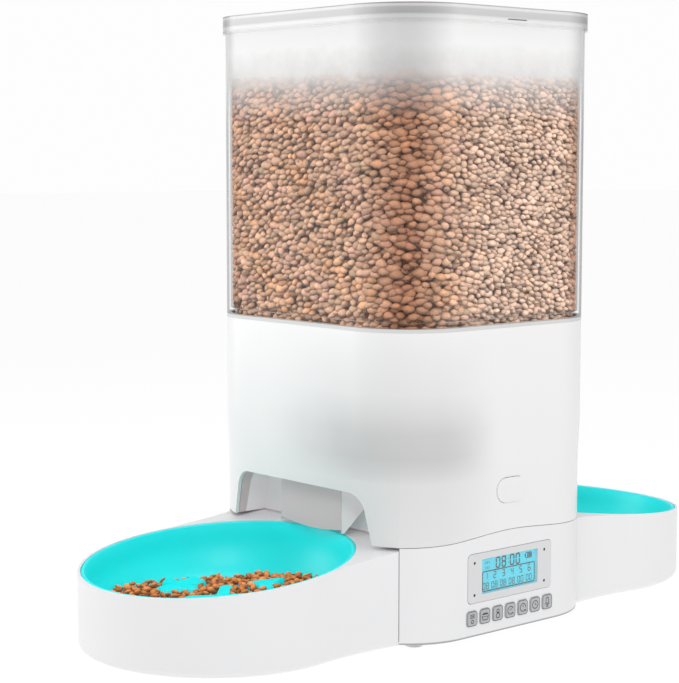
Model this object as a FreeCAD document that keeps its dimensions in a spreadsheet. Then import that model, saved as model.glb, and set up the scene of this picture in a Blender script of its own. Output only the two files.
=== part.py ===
"""Automatic pet feeder with a clear hopper and two slide-out bowl trays, built as an assembly.

Frame: millimetres, +Z up, origin at the centre of the footprint on the table.
X runs along the line of the two bowls, and the control panel faces -Y.
"""
import FreeCAD
import Part
import Sketcher
import math
import os

from FreeCAD import Placement, Rotation, Vector

DIMENSIONS = {
    # tower
    "tower_half_x": 88.0,
    "tower_half_y": 97.0,
    "corner_radius": 43.0,
    "overall_height": 375.0,
    "wall": 2.4,
    "gap": 0.4,
    # where the tower changes, from the table upwards
    "shell_bottom": 2.5,
    "base_top": 59.8,
    "block_top": 98.0,
    "blend_top": 126.0,
    "housing_top": 186.2,
    "gasket_top": 188.5,
    "tank_bottom": 188.8,
    "tank_top": 368.3,
    "lid_bottom": 363.5,
    # plan of the lower block: flat front, front arc, crease, side arc
    "flat_half_x": 41.0,
    "crease_x": 77.0,
    "crease_y": 81.4,
    "side_half_y": 43.0,
    "seam_rise": 3.7,
    # base between the trays
    "base_half_x": 61.5,
    "base_half_y": 66.0,
    "foot_height": 1.2,
    # trays and bowls
    "bowl_x": 147.6,
    "tray_radius": 83.0,
    "bowl_radius": 81.3,
    "tray_slope": 0.089,
    "tray_wall": 2.2,
    "bowl_wall": 2.0,
    "bowl_depth": 37.5,
    "tray_edge_x": 72.3,
    "tray_edge_level": 58.6,
    "tongue_y": 40.0,
    "tongue_level": 20.0,
    # chutes and arches
    "arch_half_y": 66.0,
    "arch_top": 90.0,
    "spout_x": 76.4,
    "spout_half_y": 28.5,
    "spout_lip": 60.3,
    # metering drum
    "drum_radius": 55.5,
    "drum_bottom": 98.0,
    "drum_top": 137.0,
    "rotor_radius": 54.5,
    "metering_level": 129.5,
    # control panel
    "bezel_width": 72.1,
    "bezel_bottom": 22.8,
    "bezel_height": 29.7,
    "screen_width": 48.7,
    "screen_height": 21.2,
    "screen_bottom": 27.3,
    "button_pitch": 10.9,
    "button_width": 8.5,
    "button_height": 9.1,
    "button_level": 13.7,
    "release_level": 88.0,
    "release_radius": 7.8,
    "release_half_run": 4.5,
    # cells
    "cell_radius": 16.6,
    "cell_length": 61.0,
    # speaker under the base's floor, and power socket in the rear
    "speaker_y": -48.0,
    "jack_x": 44.0,
    "jack_level": 30.0,
}

SCREW_SPOTS = [(x, y) for x in (-56, 56) for y in (-80, 80)]
BOARD_SPOTS = [(x, z) for x in (-46, 46) for z in (12, 50)]

doc = FreeCAD.newDocument("pet_feeder")
sheet = doc.addObject("Spreadsheet::Sheet", "dims")
for row, (alias, value) in enumerate(DIMENSIONS.items(), start=1):
    sheet.set(f"A{row}", alias)
    sheet.set(f"B{row}", str(value))
    sheet.setAlias(f"B{row}", alias)
doc.recompute()

nodes = []


def size(alias):
    """A driving dimension as the sheet holds it."""
    return float(sheet.get(alias))


def node(obj, label):
    """Marks an object as a sub-part; its label names its file."""
    obj.Label = label
    nodes.append(obj)
    return obj


def bind(obj, formulas):
    """Binds each property path of an object to a formula over the sheet."""
    for path, formula in formulas.items():
        obj.setExpression(path, formula)
    return obj


# ---------------------------------------------------------------- parametric building blocks


def block(name, length, width, height, x="0", y="0", z="0"):
    """Box centred on x and y, standing on z; every argument is a formula."""
    return bind(
        doc.addObject("Part::Box", name),
        {
            "Length": length,
            "Width": width,
            "Height": height,
            "Placement.Base.x": f"({x}) - ({length}) / 2",
            "Placement.Base.y": f"({y}) - ({width}) / 2",
            "Placement.Base.z": z,
        },
    )


def rod(name, radius, height, x="0", y="0", z="0", along="z"):
    """Cylinder that starts at x, y, z and runs along one positive axis."""
    obj = doc.addObject("Part::Cylinder", name)
    turns = {
        "x": Rotation(Vector(0, 1, 0), 90),
        "y": Rotation(Vector(1, 0, 0), -90),
        "z": Rotation(),
    }
    obj.Placement = Placement(Vector(), turns[along])
    return bind(
        obj,
        {
            "Radius": radius,
            "Height": height,
            "Placement.Base.x": x,
            "Placement.Base.y": y,
            "Placement.Base.z": z,
        },
    )


def cut(name, base, *tools):
    """Base with every tool taken away."""
    for number, tool in enumerate(tools, start=1):
        result = doc.addObject("Part::Cut", f"{name}_{number}")
        result.Base = base
        result.Tool = tool
        base = result
    return base


def fuse(name, *parts):
    """One solid out of several."""
    result = doc.addObject("Part::MultiFuse", name)
    result.Shapes = list(parts)
    return result


def group(name, parts):
    """Several separate solids kept as one sub-part."""
    result = doc.addObject("Part::Compound", name)
    result.Links = list(parts)
    return result


def origin_plane(body, role):
    """One of a body's own origin planes."""
    return next(f for f in body.Origin.OriginFeatures if f.Role == role)


def rounded_rectangle(sketch, half_x, half_y, radius):
    """Draws a rectangle with round corners about the sketch's centre, its sizes bound to formulas."""
    hx, hy, r = 40.0, 30.0, 8.0
    corners = [(1, 1, 0), (-1, 1, 90), (-1, -1, 180), (1, -1, 270)]
    for sx, sy, start in corners:
        centre = Vector(sx * (hx - r), sy * (hy - r), 0)
        circle = Part.Circle(centre, Vector(0, 0, 1), r)
        sketch.addGeometry(
            Part.ArcOfCircle(circle, math.radians(start), math.radians(start + 90)), False
        )
    ends = [
        (Vector(hx - r, hy, 0), Vector(r - hx, hy, 0)),
        (Vector(-hx, hy - r, 0), Vector(-hx, r - hy, 0)),
        (Vector(r - hx, -hy, 0), Vector(hx - r, -hy, 0)),
        (Vector(hx, r - hy, 0), Vector(hx, hy - r, 0)),
    ]
    for start, end in ends:
        sketch.addGeometry(Part.LineSegment(start, end), False)
    for arc in range(4):
        line, following = arc + 4, (arc + 1) % 4
        sketch.addConstraint(Sketcher.Constraint("Tangent", arc, 2, line, 1))
        sketch.addConstraint(Sketcher.Constraint("Tangent", line, 2, following, 1))
    for arc in range(1, 4):
        sketch.addConstraint(Sketcher.Constraint("Equal", 0, arc))
    for line in (4, 6):
        sketch.addConstraint(Sketcher.Constraint("Horizontal", line))
    for line in (5, 7):
        sketch.addConstraint(Sketcher.Constraint("Vertical", line))
    sketch.addConstraint(Sketcher.Constraint("Symmetric", 0, 3, 2, 3, -1, 1))
    named = [
        ("corner", Sketcher.Constraint("Radius", 0, r), radius),
        ("reach_x", Sketcher.Constraint("DistanceX", -1, 1, 7, 1, hx), half_x),
        ("reach_y", Sketcher.Constraint("DistanceY", -1, 1, 4, 1, hy), half_y),
    ]
    for name, constraint, formula in named:
        index = sketch.addConstraint(constraint)
        sketch.renameConstraint(index, name)
        sketch.setExpression(f"Constraints.{name}", formula)


def slab(name, half_x, half_y, radius, bottom, height, facing="z"):
    """Body: a rounded rectangle padded upwards, or towards -Y with facing='y' from y = bottom."""
    body = doc.addObject("PartDesign::Body", name)
    sketch = body.newObject("Sketcher::SketchObject", f"{name}_plan")
    sketch.AttachmentSupport = (origin_plane(body, "XY_Plane" if facing == "z" else "XZ_Plane"), [""])
    sketch.MapMode = "FlatFace"
    rounded_rectangle(sketch, half_x, half_y, radius)
    pad = body.newObject("PartDesign::Pad", f"{name}_pad")
    pad.Profile = sketch
    pad.setExpression("Length", height)
    if facing == "z":
        body.setExpression("Placement.Base.z", bottom)
    else:
        body.setExpression("Placement.Base.y", bottom)
    return body


def facing_slab(name, half_x, half_z, radius, level, front, depth, x="0"):
    """Body: a rounded plate on the control panel, from y = front inwards to front + depth."""
    body = slab(name, half_x, half_z, radius, f"({front}) + ({depth})", depth, facing="y")
    body.setExpression("Placement.Base.x", x)
    body.setExpression("Placement.Base.z", level)
    return body


def shaped(label, shape, placement=None):
    """Sub-part whose outline is worked out here from the sheet's dimensions."""
    obj = doc.addObject("Part::Feature", label)
    obj.Shape = shape
    obj.Placement = placement or Placement()
    return node(obj, label)


# ---------------------------------------------------------------- plans worked out from the sheet


def tangent_arc(start, end, centre):
    """Arc from start to end about centre, the short way round."""
    middle = (start - centre).normalize() + (end - centre).normalize()
    point = centre + middle.normalize() * (start - centre).Length
    return Part.Arc(start, point, end).toShape()


def quadrant_arcs(half_x, half_y, flat_x, side_y, edge_x, edge_y, z):
    """The two arcs of the corner at +X, -Y: from the flat front to the crease, then to the flat side."""
    dx, dy = edge_x - flat_x, half_y - edge_y
    front_radius = (dx * dx + dy * dy) / (2 * dy)
    dx, dy = half_x - edge_x, edge_y - side_y
    side_radius = (dx * dx + dy * dy) / (2 * dx)
    crease = Vector(edge_x, -edge_y, z)
    front = tangent_arc(Vector(flat_x, -half_y, z), crease, Vector(flat_x, front_radius - half_y, z))
    side = tangent_arc(crease, Vector(half_x, -side_y, z), Vector(half_x - side_radius, -side_y, z))
    return front, side


def tower_plan(z, inset, creased):
    """Closed plan of the tower at height z: plain round corners, or creased ones on the lower block."""
    half_x = size("tower_half_x") - inset
    half_y = size("tower_half_y") - inset
    if creased:
        flat_x, side_y = size("flat_half_x"), size("side_half_y")
        edge_x, edge_y = size("crease_x") - 0.8 * inset, size("crease_y") - 0.6 * inset
    else:
        radius = size("corner_radius") - inset
        flat_x = half_x - radius
        side_y = half_y - radius
        angle = math.radians(41)
        edge_x = flat_x + radius * math.cos(angle)
        edge_y = side_y + radius * math.sin(angle)
    front, side = quadrant_arcs(half_x, half_y, flat_x, side_y, edge_x, edge_y, z)
    edges = []
    for flip_x, flip_y in ((1, 1), (1, -1), (-1, -1), (-1, 1)):
        scale = FreeCAD.Matrix()
        scale.scale(Vector(flip_x, flip_y, 1))
        edges += [arc.transformGeometry(scale) for arc in (front, side)]
    edges += [
        Part.makeLine(Vector(-flat_x, -half_y, z), Vector(flat_x, -half_y, z)),
        Part.makeLine(Vector(half_x, -side_y, z), Vector(half_x, side_y, z)),
        Part.makeLine(Vector(flat_x, half_y, z), Vector(-flat_x, half_y, z)),
        Part.makeLine(Vector(-half_x, side_y, z), Vector(-half_x, -side_y, z)),
    ]
    return Part.Wire(Part.__sortEdges__(edges))


def prism(wire, height, direction=Vector(0, 0, 1)):
    """Solid swept straight out of a closed plan."""
    return Part.Face(wire).extrude(direction * height)


def polygon(points):
    """Closed wire through the points."""
    return Part.makePolygon(list(points) + [points[0]])


def cuboid(x0, x1, y0, y1, z0, z1):
    """Box between two corners."""
    return Part.makeBox(x1 - x0, y1 - y0, z1 - z0, Vector(x0, y0, z0))


def below_seam(lift=0.0):
    """Everything under the wavy seam between base and housing, the seam raised by lift."""
    level, rise = size("base_top"), size("seam_rise")
    reach = size("crease_x") + 3
    share = [(-1, 0.0), (-0.75, 0.12), (-0.42, 0.5), (0, 1.0), (0.42, 0.5), (0.75, 0.12), (1, 0.0)]
    seam = Part.BSplineCurve()
    seam.interpolate([Vector(x * reach, -120, level + rise * up + lift) for x, up in share])
    low_left, low_right = Vector(-reach, -120, -5), Vector(reach, -120, -5)
    edges = [
        seam.toShape(),
        Part.makeLine(Vector(reach, -120, level + lift), low_right),
        Part.makeLine(low_right, low_left),
        Part.makeLine(low_left, Vector(-reach, -120, level + lift)),
    ]
    return prism(Part.Wire(edges), 240, Vector(0, 1, 0))


def base_plan(z, inset=0.0):
    """Plan of the base: curved front and back, narrowed at the sides where the trays plug in."""
    half_y = size("tower_half_y") - inset
    edge_x, edge_y = size("crease_x") - 1.6 * inset, size("crease_y") - 0.1 * inset
    waist_x, waist_y = size("base_half_x") - inset, size("base_half_y") + 0.4 * inset
    flat_x = size("flat_half_x")
    dx, dy = edge_x - flat_x, half_y - edge_y
    radius = (dx * dx + dy * dy) / (2 * dy)
    front = tangent_arc(
        Vector(flat_x, -half_y, z), Vector(edge_x, -edge_y, z), Vector(flat_x, radius - half_y, z)
    )
    edges = []
    for flip_x in (1, -1):
        for flip_y in (1, -1):
            scale = FreeCAD.Matrix()
            scale.scale(Vector(flip_x, flip_y, 1))
            edges.append(front.transformGeometry(scale))
            edges.append(
                Part.makeLine(
                    Vector(flip_x * edge_x, -flip_y * edge_y, z),
                    Vector(flip_x * waist_x, -flip_y * waist_y, z),
                )
            )
        edges.append(
            Part.makeLine(
                Vector(flip_x * waist_x, waist_y, z), Vector(flip_x * waist_x, -waist_y, z)
            )
        )
        edges.append(
            Part.makeLine(
                Vector(flat_x, flip_x * half_y, z), Vector(-flat_x, flip_x * half_y, z)
            )
        )
    return Part.Wire(Part.__sortEdges__(edges))


def arch_plan(x, grow=0.0):
    """Arched opening in the tower's side wall, in the plane at x."""
    foot, top = size("arch_half_y") + grow, size("arch_top") + grow
    low = size("base_top") - 1
    shoulder = Vector(x, foot - 5, top - 12)
    bend = Vector(x, foot - 9.5, top - 3.4)
    flat = Vector(x, foot - 18, top)
    points = [Vector(x, foot, low), shoulder, bend, flat]
    mirror = [Vector(x, -p.y, p.z) for p in points]
    edges = [
        Part.makeLine(points[0], points[1]),
        Part.Arc(points[1], points[2], points[3]).toShape(),
        Part.makeLine(points[3], mirror[3]),
        Part.Arc(mirror[3], mirror[2], mirror[1]).toShape(),
        Part.makeLine(mirror[1], mirror[0]),
        Part.makeLine(mirror[0], points[0]),
    ]
    return Part.Wire(edges)


# ---------------------------------------------------------------- tower


def make_housing():
    """White tower shell over the base, with an arch each side and the release button's hole."""
    bottom, block_top = size("base_top") - 1, size("block_top")
    blend_top, top = size("blend_top"), size("housing_top")

    def skin(inset):
        plans = [
            tower_plan(bottom, inset, True),
            tower_plan(block_top, inset, True),
            tower_plan(blend_top, inset, False),
            tower_plan(top, inset, False),
        ]
        return Part.makeLoft(plans, True, True)

    shell = skin(0).cut(skin(size("wall")))
    shell = shell.cut(below_seam(size("gap")))
    side_trim = cuboid(-95, 95, -100, 100, 40, size("base_top") + size("gap"))
    shell = shell.cut(side_trim)
    for x in (-100, 70):
        shell = shell.cut(prism(arch_plan(x), 30, Vector(1, 0, 0)))
    radius, half_run, level = size("release_radius"), size("release_half_run"), size("release_level")
    hole = Part.makeCylinder(radius, 12, Vector(half_run, -100, level), Vector(0, 1, 0))
    twin = hole.translated(Vector(-2 * half_run, 0, 0))
    middle = cuboid(-half_run, half_run, -100, -88, level - radius, level + radius)
    shell = shell.cut(hole.fuse([twin, middle]))
    inner_face, guide_top = size("wall") - size("tower_half_y"), level - radius - 0.2
    guide_y = (inner_face, inner_face + 8.6)
    guide = cuboid(-half_run - 9, half_run + 9, *guide_y, guide_top - 1.4, guide_top)
    shell = shell.fuse(guide)
    return shaped("housing", shell.removeSplitter())


def make_gasket():
    """Soft ring between the housing and the tank."""
    outer = slab(
        "gasket_outer", "dims.tower_half_x", "dims.tower_half_y", "dims.corner_radius",
        "dims.housing_top", "dims.gasket_top - dims.housing_top",
    )
    inner = slab(
        "gasket_inner", "dims.tower_half_x - dims.wall", "dims.tower_half_y - dims.wall",
        "dims.corner_radius - dims.wall", "dims.housing_top - 1", "5",
    )
    return node(cut("gasket", outer, inner), "tank_gasket")


def make_tank():
    """Clear hopper tank: straight walls, and a spigot that drops inside the housing."""
    wall = "dims.wall"
    outer = slab(
        "tank_outer", "dims.tower_half_x", "dims.tower_half_y", "dims.corner_radius",
        "dims.tank_bottom", "dims.tank_top - dims.tank_bottom",
    )
    spigot = slab(
        "tank_spigot", f"dims.tower_half_x - {wall} - dims.gap",
        f"dims.tower_half_y - {wall} - dims.gap", f"dims.corner_radius - {wall} - dims.gap",
        "dims.tank_bottom - 11", "14",
    )
    inner = slab(
        "tank_inner", f"dims.tower_half_x - {wall}", f"dims.tower_half_y - {wall}",
        f"dims.corner_radius - {wall}", "dims.tank_bottom + 3", "dims.overall_height",
    )
    mouth = slab(
        "tank_mouth", f"dims.tower_half_x - 2 * {wall} - dims.gap",
        f"dims.tower_half_y - 2 * {wall} - dims.gap",
        f"dims.corner_radius - 2 * {wall} - dims.gap", "dims.tank_bottom - 12", "30",
    )
    body = fuse("tank_solid", outer, spigot)
    return node(cut("tank", body, inner, mouth), "hopper_tank")


def make_lid():
    """Clear lift-off lid with a short skirt, and the grey seal it presses on the tank's edge."""
    outer = slab(
        "lid_outer", "dims.tower_half_x + 1.7", "dims.tower_half_y + 1.7",
        "dims.corner_radius + 1.7", "dims.lid_bottom", "dims.overall_height - dims.lid_bottom",
    )
    inner = slab(
        "lid_inner", "dims.tower_half_x + dims.gap", "dims.tower_half_y + dims.gap",
        "dims.corner_radius + dims.gap", "dims.lid_bottom - 1",
        "dims.overall_height - dims.lid_bottom - 1.2",
    )
    grip = slab(
        "lid_grip", "34", "12", "11.5", "dims.overall_height - 1.2", "3",
    )
    node(cut("lid", outer, inner, grip), "lid")
    seal_outer = slab(
        "seal_outer", "dims.tower_half_x + 0.1", "dims.tower_half_y + 0.1",
        "dims.corner_radius + 0.1", "dims.tank_top + 0.3", "4",
    )
    seal_inner = slab(
        "seal_inner", "dims.tower_half_x - 4", "dims.tower_half_y - 4",
        "dims.corner_radius - 4", "dims.tank_top - 1", "8",
    )
    node(cut("seal", seal_outer, seal_inner), "lid_seal")


# ---------------------------------------------------------------- metering drum


def make_funnel():
    """Hopper floor that narrows from the tank's mouth to the drum."""
    top, low = size("tank_bottom") - 12.2, size("drum_top")
    mouth_x, mouth_y = size("tower_half_x") - 4.7, size("tower_half_y") - 4.7
    drum = size("drum_radius") + 0.1

    def skin(grow):
        plans = []
        for half_x, half_y, radius, z in (
            (mouth_x + grow, mouth_y + grow, size("corner_radius") - 5 + grow, top),
            (drum + grow, drum + grow, drum - 1.6 + grow, low),
        ):
            flat = Part.makeBox(2 * half_x, 2 * half_y, 1, Vector(-half_x, -half_y, z))
            uprights = [e for e in flat.Edges if abs(e.Vertexes[0].Z - e.Vertexes[1].Z) > 0.5]
            rounded = flat.makeFillet(radius, uprights)
            face = min(rounded.Faces, key=lambda f: f.CenterOfMass.z)
            plans.append(face.OuterWire)
        return Part.makeLoft(plans, True, True)

    return shaped("hopper_funnel", skin(1.9).cut(skin(0)))


def make_drum():
    """Drum casing under the funnel: round wall, floor with two outlets, and the metering plate above."""
    radius, bottom, top = size("drum_radius"), size("drum_bottom"), size("drum_top")
    casing = Part.makeCylinder(radius + 2, top - bottom - 0.2, Vector(0, 0, bottom))
    casing = casing.cut(Part.makeCylinder(radius, top, Vector(0, 0, bottom + 2.4)))
    reach = Part.makeCylinder(radius - 1.5, 10, Vector(0, 0, bottom - 2))
    beyond = radius + 4.5
    outlet_start, outlet_half = 29, 26
    for side in (-1, 1):
        x0, x1 = sorted((side * outlet_start, side * beyond))
        outlet = cuboid(x0, x1, -outlet_half, outlet_half, bottom - 2, bottom + 6)
        casing = casing.cut(outlet.common(reach))
    casing = casing.cut(Part.makeCylinder(9, 10, Vector(0, 0, bottom - 2)))
    shaped("drum_casing", casing)

    level = size("metering_level")
    plate = Part.makeCylinder(radius - 0.2, 2, Vector(0, 0, level))
    below, through = Vector(0, 0, level - 10), 20
    opening_start, opening_half = 16, 34
    for side in (-1, 1):
        y0, y1 = sorted((side * opening_start, side * beyond))
        sector = cuboid(-opening_half, opening_half, y0, y1, level - 8, level + 8)
        plate = plate.cut(sector.common(Part.makeCylinder(radius - 4, through, below)))
    plate = plate.cut(Part.makeCylinder(9.5, through, below))
    shaped("metering_plate", plate)


def make_rotor():
    """Six-bladed rotor that carries the food round to the outlets, and the stirrer on its top."""
    floor, height, blades = size("drum_bottom") + 3.0, 25.0, 6
    solid = Part.makeCylinder(14, height, Vector(0, 0, floor))
    solid = solid.fuse(Part.makeCylinder(8.8, height + 13, Vector(0, 0, floor)))
    for number in range(blades):
        blade = cuboid(10, size("rotor_radius"), -1.3, 1.3, floor, floor + height)
        blade.rotate(Vector(), Vector(0, 0, 1), 30 + 360 / blades * number)
        solid = solid.fuse(blade)
    socket = cuboid(-6.3, 6.3, -6.3, 6.3, floor - 1, floor + 13)
    shaped("rotor", solid.cut(socket).removeSplitter())

    top = floor + height + 13
    arms = [
        block(f"stirrer_arm_{n}", a, b, "4", z=f"{top + 2}")
        for n, (a, b) in enumerate((("84", "5"), ("5", "84")))
    ]
    cap = doc.addObject("Part::Cone", "stirrer_cap")
    bind(cap, {"Radius1": "13", "Radius2": "3", "Height": "16", "Placement.Base.z": f"{top}"})
    node(fuse("stirrer", cap, *arms), "stirrer")


def make_drive():
    """Gearmotor on four posts over the base's deck, and the square drive hub that turns the rotor."""
    deck = "dims.base_top"
    case = block("gearbox_block", "46", "58", "22", z=f"{deck} + 11.6")
    ears = [block(f"gearbox_ear_{n}", "62", "8", "2.4", y=y, z=f"{deck} + 25")
            for n, y in enumerate(("-20", "20"))]
    bore = rod("gearbox_bore", "4.05", "60", z=deck)
    posts, screws, drills = [], [], []
    for number, (x, y) in enumerate((("-27", "-20"), ("27", "-20"), ("-27", "20"), ("27", "20"))):
        post = rod(f"post_{number}", "3.4", "25", x=x, y=y, z=deck)
        pilot = rod(f"post_pilot_{number}", "1.6", "16", x=x, y=y, z=f"{deck} + 12")
        drills.append(rod(f"ear_hole_{number}", "1.7", "6", x=x, y=y, z=f"{deck} + 24"))
        posts.append(cut(f"post_drilled_{number}", post, pilot))
        head = rod(f"motor_screw_head_{number}", "2.9", "1.8", x=x, y=y, z=f"{deck} + 27.4")
        stem = rod(f"motor_screw_stem_{number}", "1.5", "13", x=x, y=y, z=f"{deck} + 14.6")
        screws.append(fuse(f"motor_screw_{number}", head, stem))
    node(cut("gearbox", fuse("gearbox_solid", case, *ears), bore, *drills), "gearbox")
    node(group("post_group", posts), "motor_posts")
    node(group("motor_screw_group", screws), "motor_screws")
    motor = rod("motor_can", "12.2", "11.4", y="-10", z=deck)
    collar = rod("motor_collar", "6", "9", y="18", z=f"{deck} + 2")
    node(group("motor_group", [motor, collar]), "motor")
    shaft = rod("drive_shaft", "4", "15", z=f"{deck} + 20")
    flange = rod("drive_flange", "8.6", "6.2", z=f"{deck} + 34")
    dog = block("drive_dog", "12", "12", "13.5", z="dims.drum_bottom + 2")
    node(fuse("drive", shaft, flange, dog), "drive_hub")


def make_drum_deck():
    """Shelf across the housing that carries the drum, open over the two chutes and the gearbox."""
    level = size("drum_bottom") - 2.4
    deck = prism(tower_plan(level, size("wall") + 0.3, True), 2.2)
    reach = size("spout_half_y") + 10
    for side in (-1, 1):
        x0, x1 = sorted((side * 25.5, side * (size("spout_x") + 1.6)))
        deck = deck.cut(cuboid(x0, x1, -reach, reach, level - 1, level + 4))
    deck = deck.cut(Part.makeCylinder(12, 8, Vector(0, 0, level - 2)))
    shaped("drum_deck", deck)


# ---------------------------------------------------------------- chutes


def make_chutes():
    """Grey liner of each side arch with the spout that drops food in the bowl."""
    back_x, front_x = 58.0, size("tower_half_x") - size("wall") - 0.3
    lip, spout_x, half_y = size("spout_lip"), size("spout_x"), size("spout_half_y")
    floor = size("base_top") + 0.4
    ceiling = size("drum_bottom") - 0.3
    tunnel = prism(arch_plan(-front_x, 1.8), front_x - back_x, Vector(1, 0, 0))
    tunnel = tunnel.cut(prism(arch_plan(-front_x - 1), front_x - back_x - 1, Vector(1, 0, 0)))
    below = cuboid(-100, 0, -90, 90, 40, floor)
    tunnel = tunnel.cut(below)

    def spout_plan(inset):
        side = half_y - inset
        wide = half_y + 8.5 - inset
        return polygon([
            Vector(-spout_x + inset, -side, lip),
            Vector(-spout_x + inset, side, lip),
            Vector(-back_x, wide, lip),
            Vector(-back_x, -wide, lip),
        ])

    thick = 1.8
    throat = prism(spout_plan(thick), ceiling - lip)
    hood = prism(spout_plan(0), ceiling - lip).cut(throat)
    ahead_of_back = cuboid(-spout_x, -back_x - 1, -half_y - 9, half_y + 9, lip, ceiling)
    tunnel = tunnel.cut(throat.common(ahead_of_back))
    rising = polygon([
        Vector(-spout_x + thick, -60, lip - 1),
        Vector(-spout_x + thick, -60, lip),
        Vector(-back_x - 1.5, -60, lip + 19),
        Vector(-back_x - 1.5, -60, lip - 1),
    ])
    hood = hood.cut(prism(rising, 120, Vector(0, 1, 0)))
    face_x, rise = -spout_x - 1, 2.3
    near_end, far_end = Vector(face_x, -half_y, lip + rise), Vector(face_x, half_y, lip + rise)
    near_low, far_low = Vector(face_x, -half_y, lip - 2), Vector(face_x, half_y, lip - 2)
    under = Part.Wire([
        Part.Arc(near_end, Vector(face_x, 0, lip), far_end).toShape(),
        Part.makeLine(far_end, far_low),
        Part.makeLine(far_low, near_low),
        Part.makeLine(near_low, near_end),
    ])
    hood = hood.cut(prism(under, 4, Vector(1, 0, 0)))

    cheek_y = half_y + 6
    window = cuboid(-back_x - 5, -back_x + 3, -cheek_y, cheek_y, lip + 14, ceiling)
    tunnel = tunnel.cut(window)
    ramp_x, ramp_foot, ramp_level, head_x = -back_x + 0.2, lip + 9.8, lip + 12, -27.5
    ramp = prism(polygon([
        Vector(ramp_x, -cheek_y, ramp_level),
        Vector(head_x - 2.5, -cheek_y, ceiling),
        Vector(head_x, -cheek_y, ceiling),
        Vector(ramp_x, -cheek_y, ramp_foot),
    ]), 2 * cheek_y, Vector(0, 1, 0))
    cheek = prism(polygon([
        Vector(ramp_x, 0, ramp_foot),
        Vector(ramp_x, 0, ceiling),
        Vector(head_x, 0, ceiling),
    ]), thick, Vector(0, 1, 0))
    near = cheek.translated(Vector(0, -cheek_y - thick, 0))
    far = cheek.translated(Vector(0, cheek_y, 0))
    side = cheek_y + thick
    collar = cuboid(-back_x - 0.2, -back_x + 0.4, -side, side, lip + 8, lip + 14)
    chute = tunnel.fuse([hood, ramp, near, far, collar])
    inside = prism(tower_plan(floor - 1, size("wall") + 0.3, True), 60)
    chute = chute.common(inside).removeSplitter()
    shaped("chute_left", chute)
    shaped("chute_right", chute, Placement(Vector(), Rotation(Vector(0, 0, 1), 180)))


# ---------------------------------------------------------------- trays and bowls


def rim_level(x):
    """Height of the left tray's sloping top at x."""
    return size("tray_edge_level") + size("tray_slope") * (x + size("tray_edge_x"))


def tray_plan(z, inset=0.0):
    """Plan of the left tray: round outer end, flanks that run in to the base's creases."""
    radius = size("tray_radius") - inset
    gap = 0.5
    edge = Vector(-size("crease_x") - gap - 0.3 * inset, -size("crease_y") + inset, z)
    waist = Vector(-size("base_half_x") - gap - inset, -size("base_half_y") + 0.6 * inset, z)
    centre = Vector(-size("bowl_x"), 0, z)
    angle = math.radians(80.5)
    touch = centre + Vector(math.cos(angle), -math.sin(angle), 0) * radius
    bend = Vector(-106, -79.8 + inset, z)
    outer = Part.Arc(
        Vector(touch.x, -touch.y, z), centre - Vector(radius, 0, 0), touch
    ).toShape()
    flank = Part.Arc(touch, bend, edge).toShape()

    def other(p):
        return Vector(p.x, -p.y, z)

    edges = [
        outer,
        flank,
        Part.makeLine(edge, waist),
        Part.makeLine(waist, other(waist)),
        Part.makeLine(other(waist), other(edge)),
        Part.Arc(other(edge), other(bend), other(touch)).toShape(),
    ]
    return Part.Wire(edges)


def under_slope(drop=0.0):
    """Everything under the tray's sloping top, lowered by drop."""
    left, right = -260, -40
    return prism(polygon([
        Vector(left, -120, -10),
        Vector(right, -120, -10),
        Vector(right, -120, rim_level(right) - drop),
        Vector(left, -120, rim_level(left) - drop),
    ]), 240, Vector(0, 1, 0))


def bowl_frame():
    """Placement of a bowl: at the rim's centre, its axis square to the sloping top."""
    tilt = -math.degrees(math.atan(size("tray_slope")))
    centre = Vector(-size("bowl_x"), 0, rim_level(-size("bowl_x")))
    return Placement(centre, Rotation(Vector(0, 1, 0), tilt))


def make_trays():
    """White tray each side: hollow, floored, with a stepped round opening for the bowl and two tongues."""
    wall, bottom = size("tray_wall"), size("foot_height")
    outer = prism(tray_plan(bottom), 70)
    lower_edges = [
        e for e in outer.Edges
        if all(abs(v.Z - bottom) < 0.01 for v in e.Vertexes) and e.BoundBox.XMax < -size("crease_x") + 1
        and e.BoundBox.YLength + e.BoundBox.XLength > 20
    ]
    outer = outer.makeFillet(3.5, lower_edges)
    outer = outer.common(under_slope())
    hollow = prism(tray_plan(bottom + wall, wall), 70).common(under_slope(4.6))
    tray = outer.cut(hollow)
    seat = Part.makeCylinder(size("bowl_radius") + 0.4, 20, Vector(0, 0, -2.4))
    hole = Part.makeCylinder(size("bowl_radius") - 1.6, 60, Vector(0, 0, -14))
    opening = seat.fuse(hole)
    opening.Placement = bowl_frame()
    tray = tray.cut(opening)
    root, level = -size("base_half_x"), size("tongue_level")
    for y in (-size("tongue_y"), size("tongue_y")):
        tray = tray.fuse(cuboid(root - 1.5, root + 7, y - 7, y + 7, level, level + 4))
    tray = tray.removeSplitter()
    middle = -size("bowl_x")
    feet = Part.makeCompound([
        Part.makeCylinder(6, bottom - 0.05, Vector(x, y, 0))
        for x, y in ((-215, 0), (middle, 62), (middle, -62), (-78, 55), (-78, -55))
    ])
    half_turn = Placement(Vector(), Rotation(Vector(0, 0, 1), 180))
    for side, placement in (("left", Placement()), ("right", half_turn)):
        shaped(f"tray_{side}", tray, placement)
        shaped(f"tray_feet_{side}", feet, placement)


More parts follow.
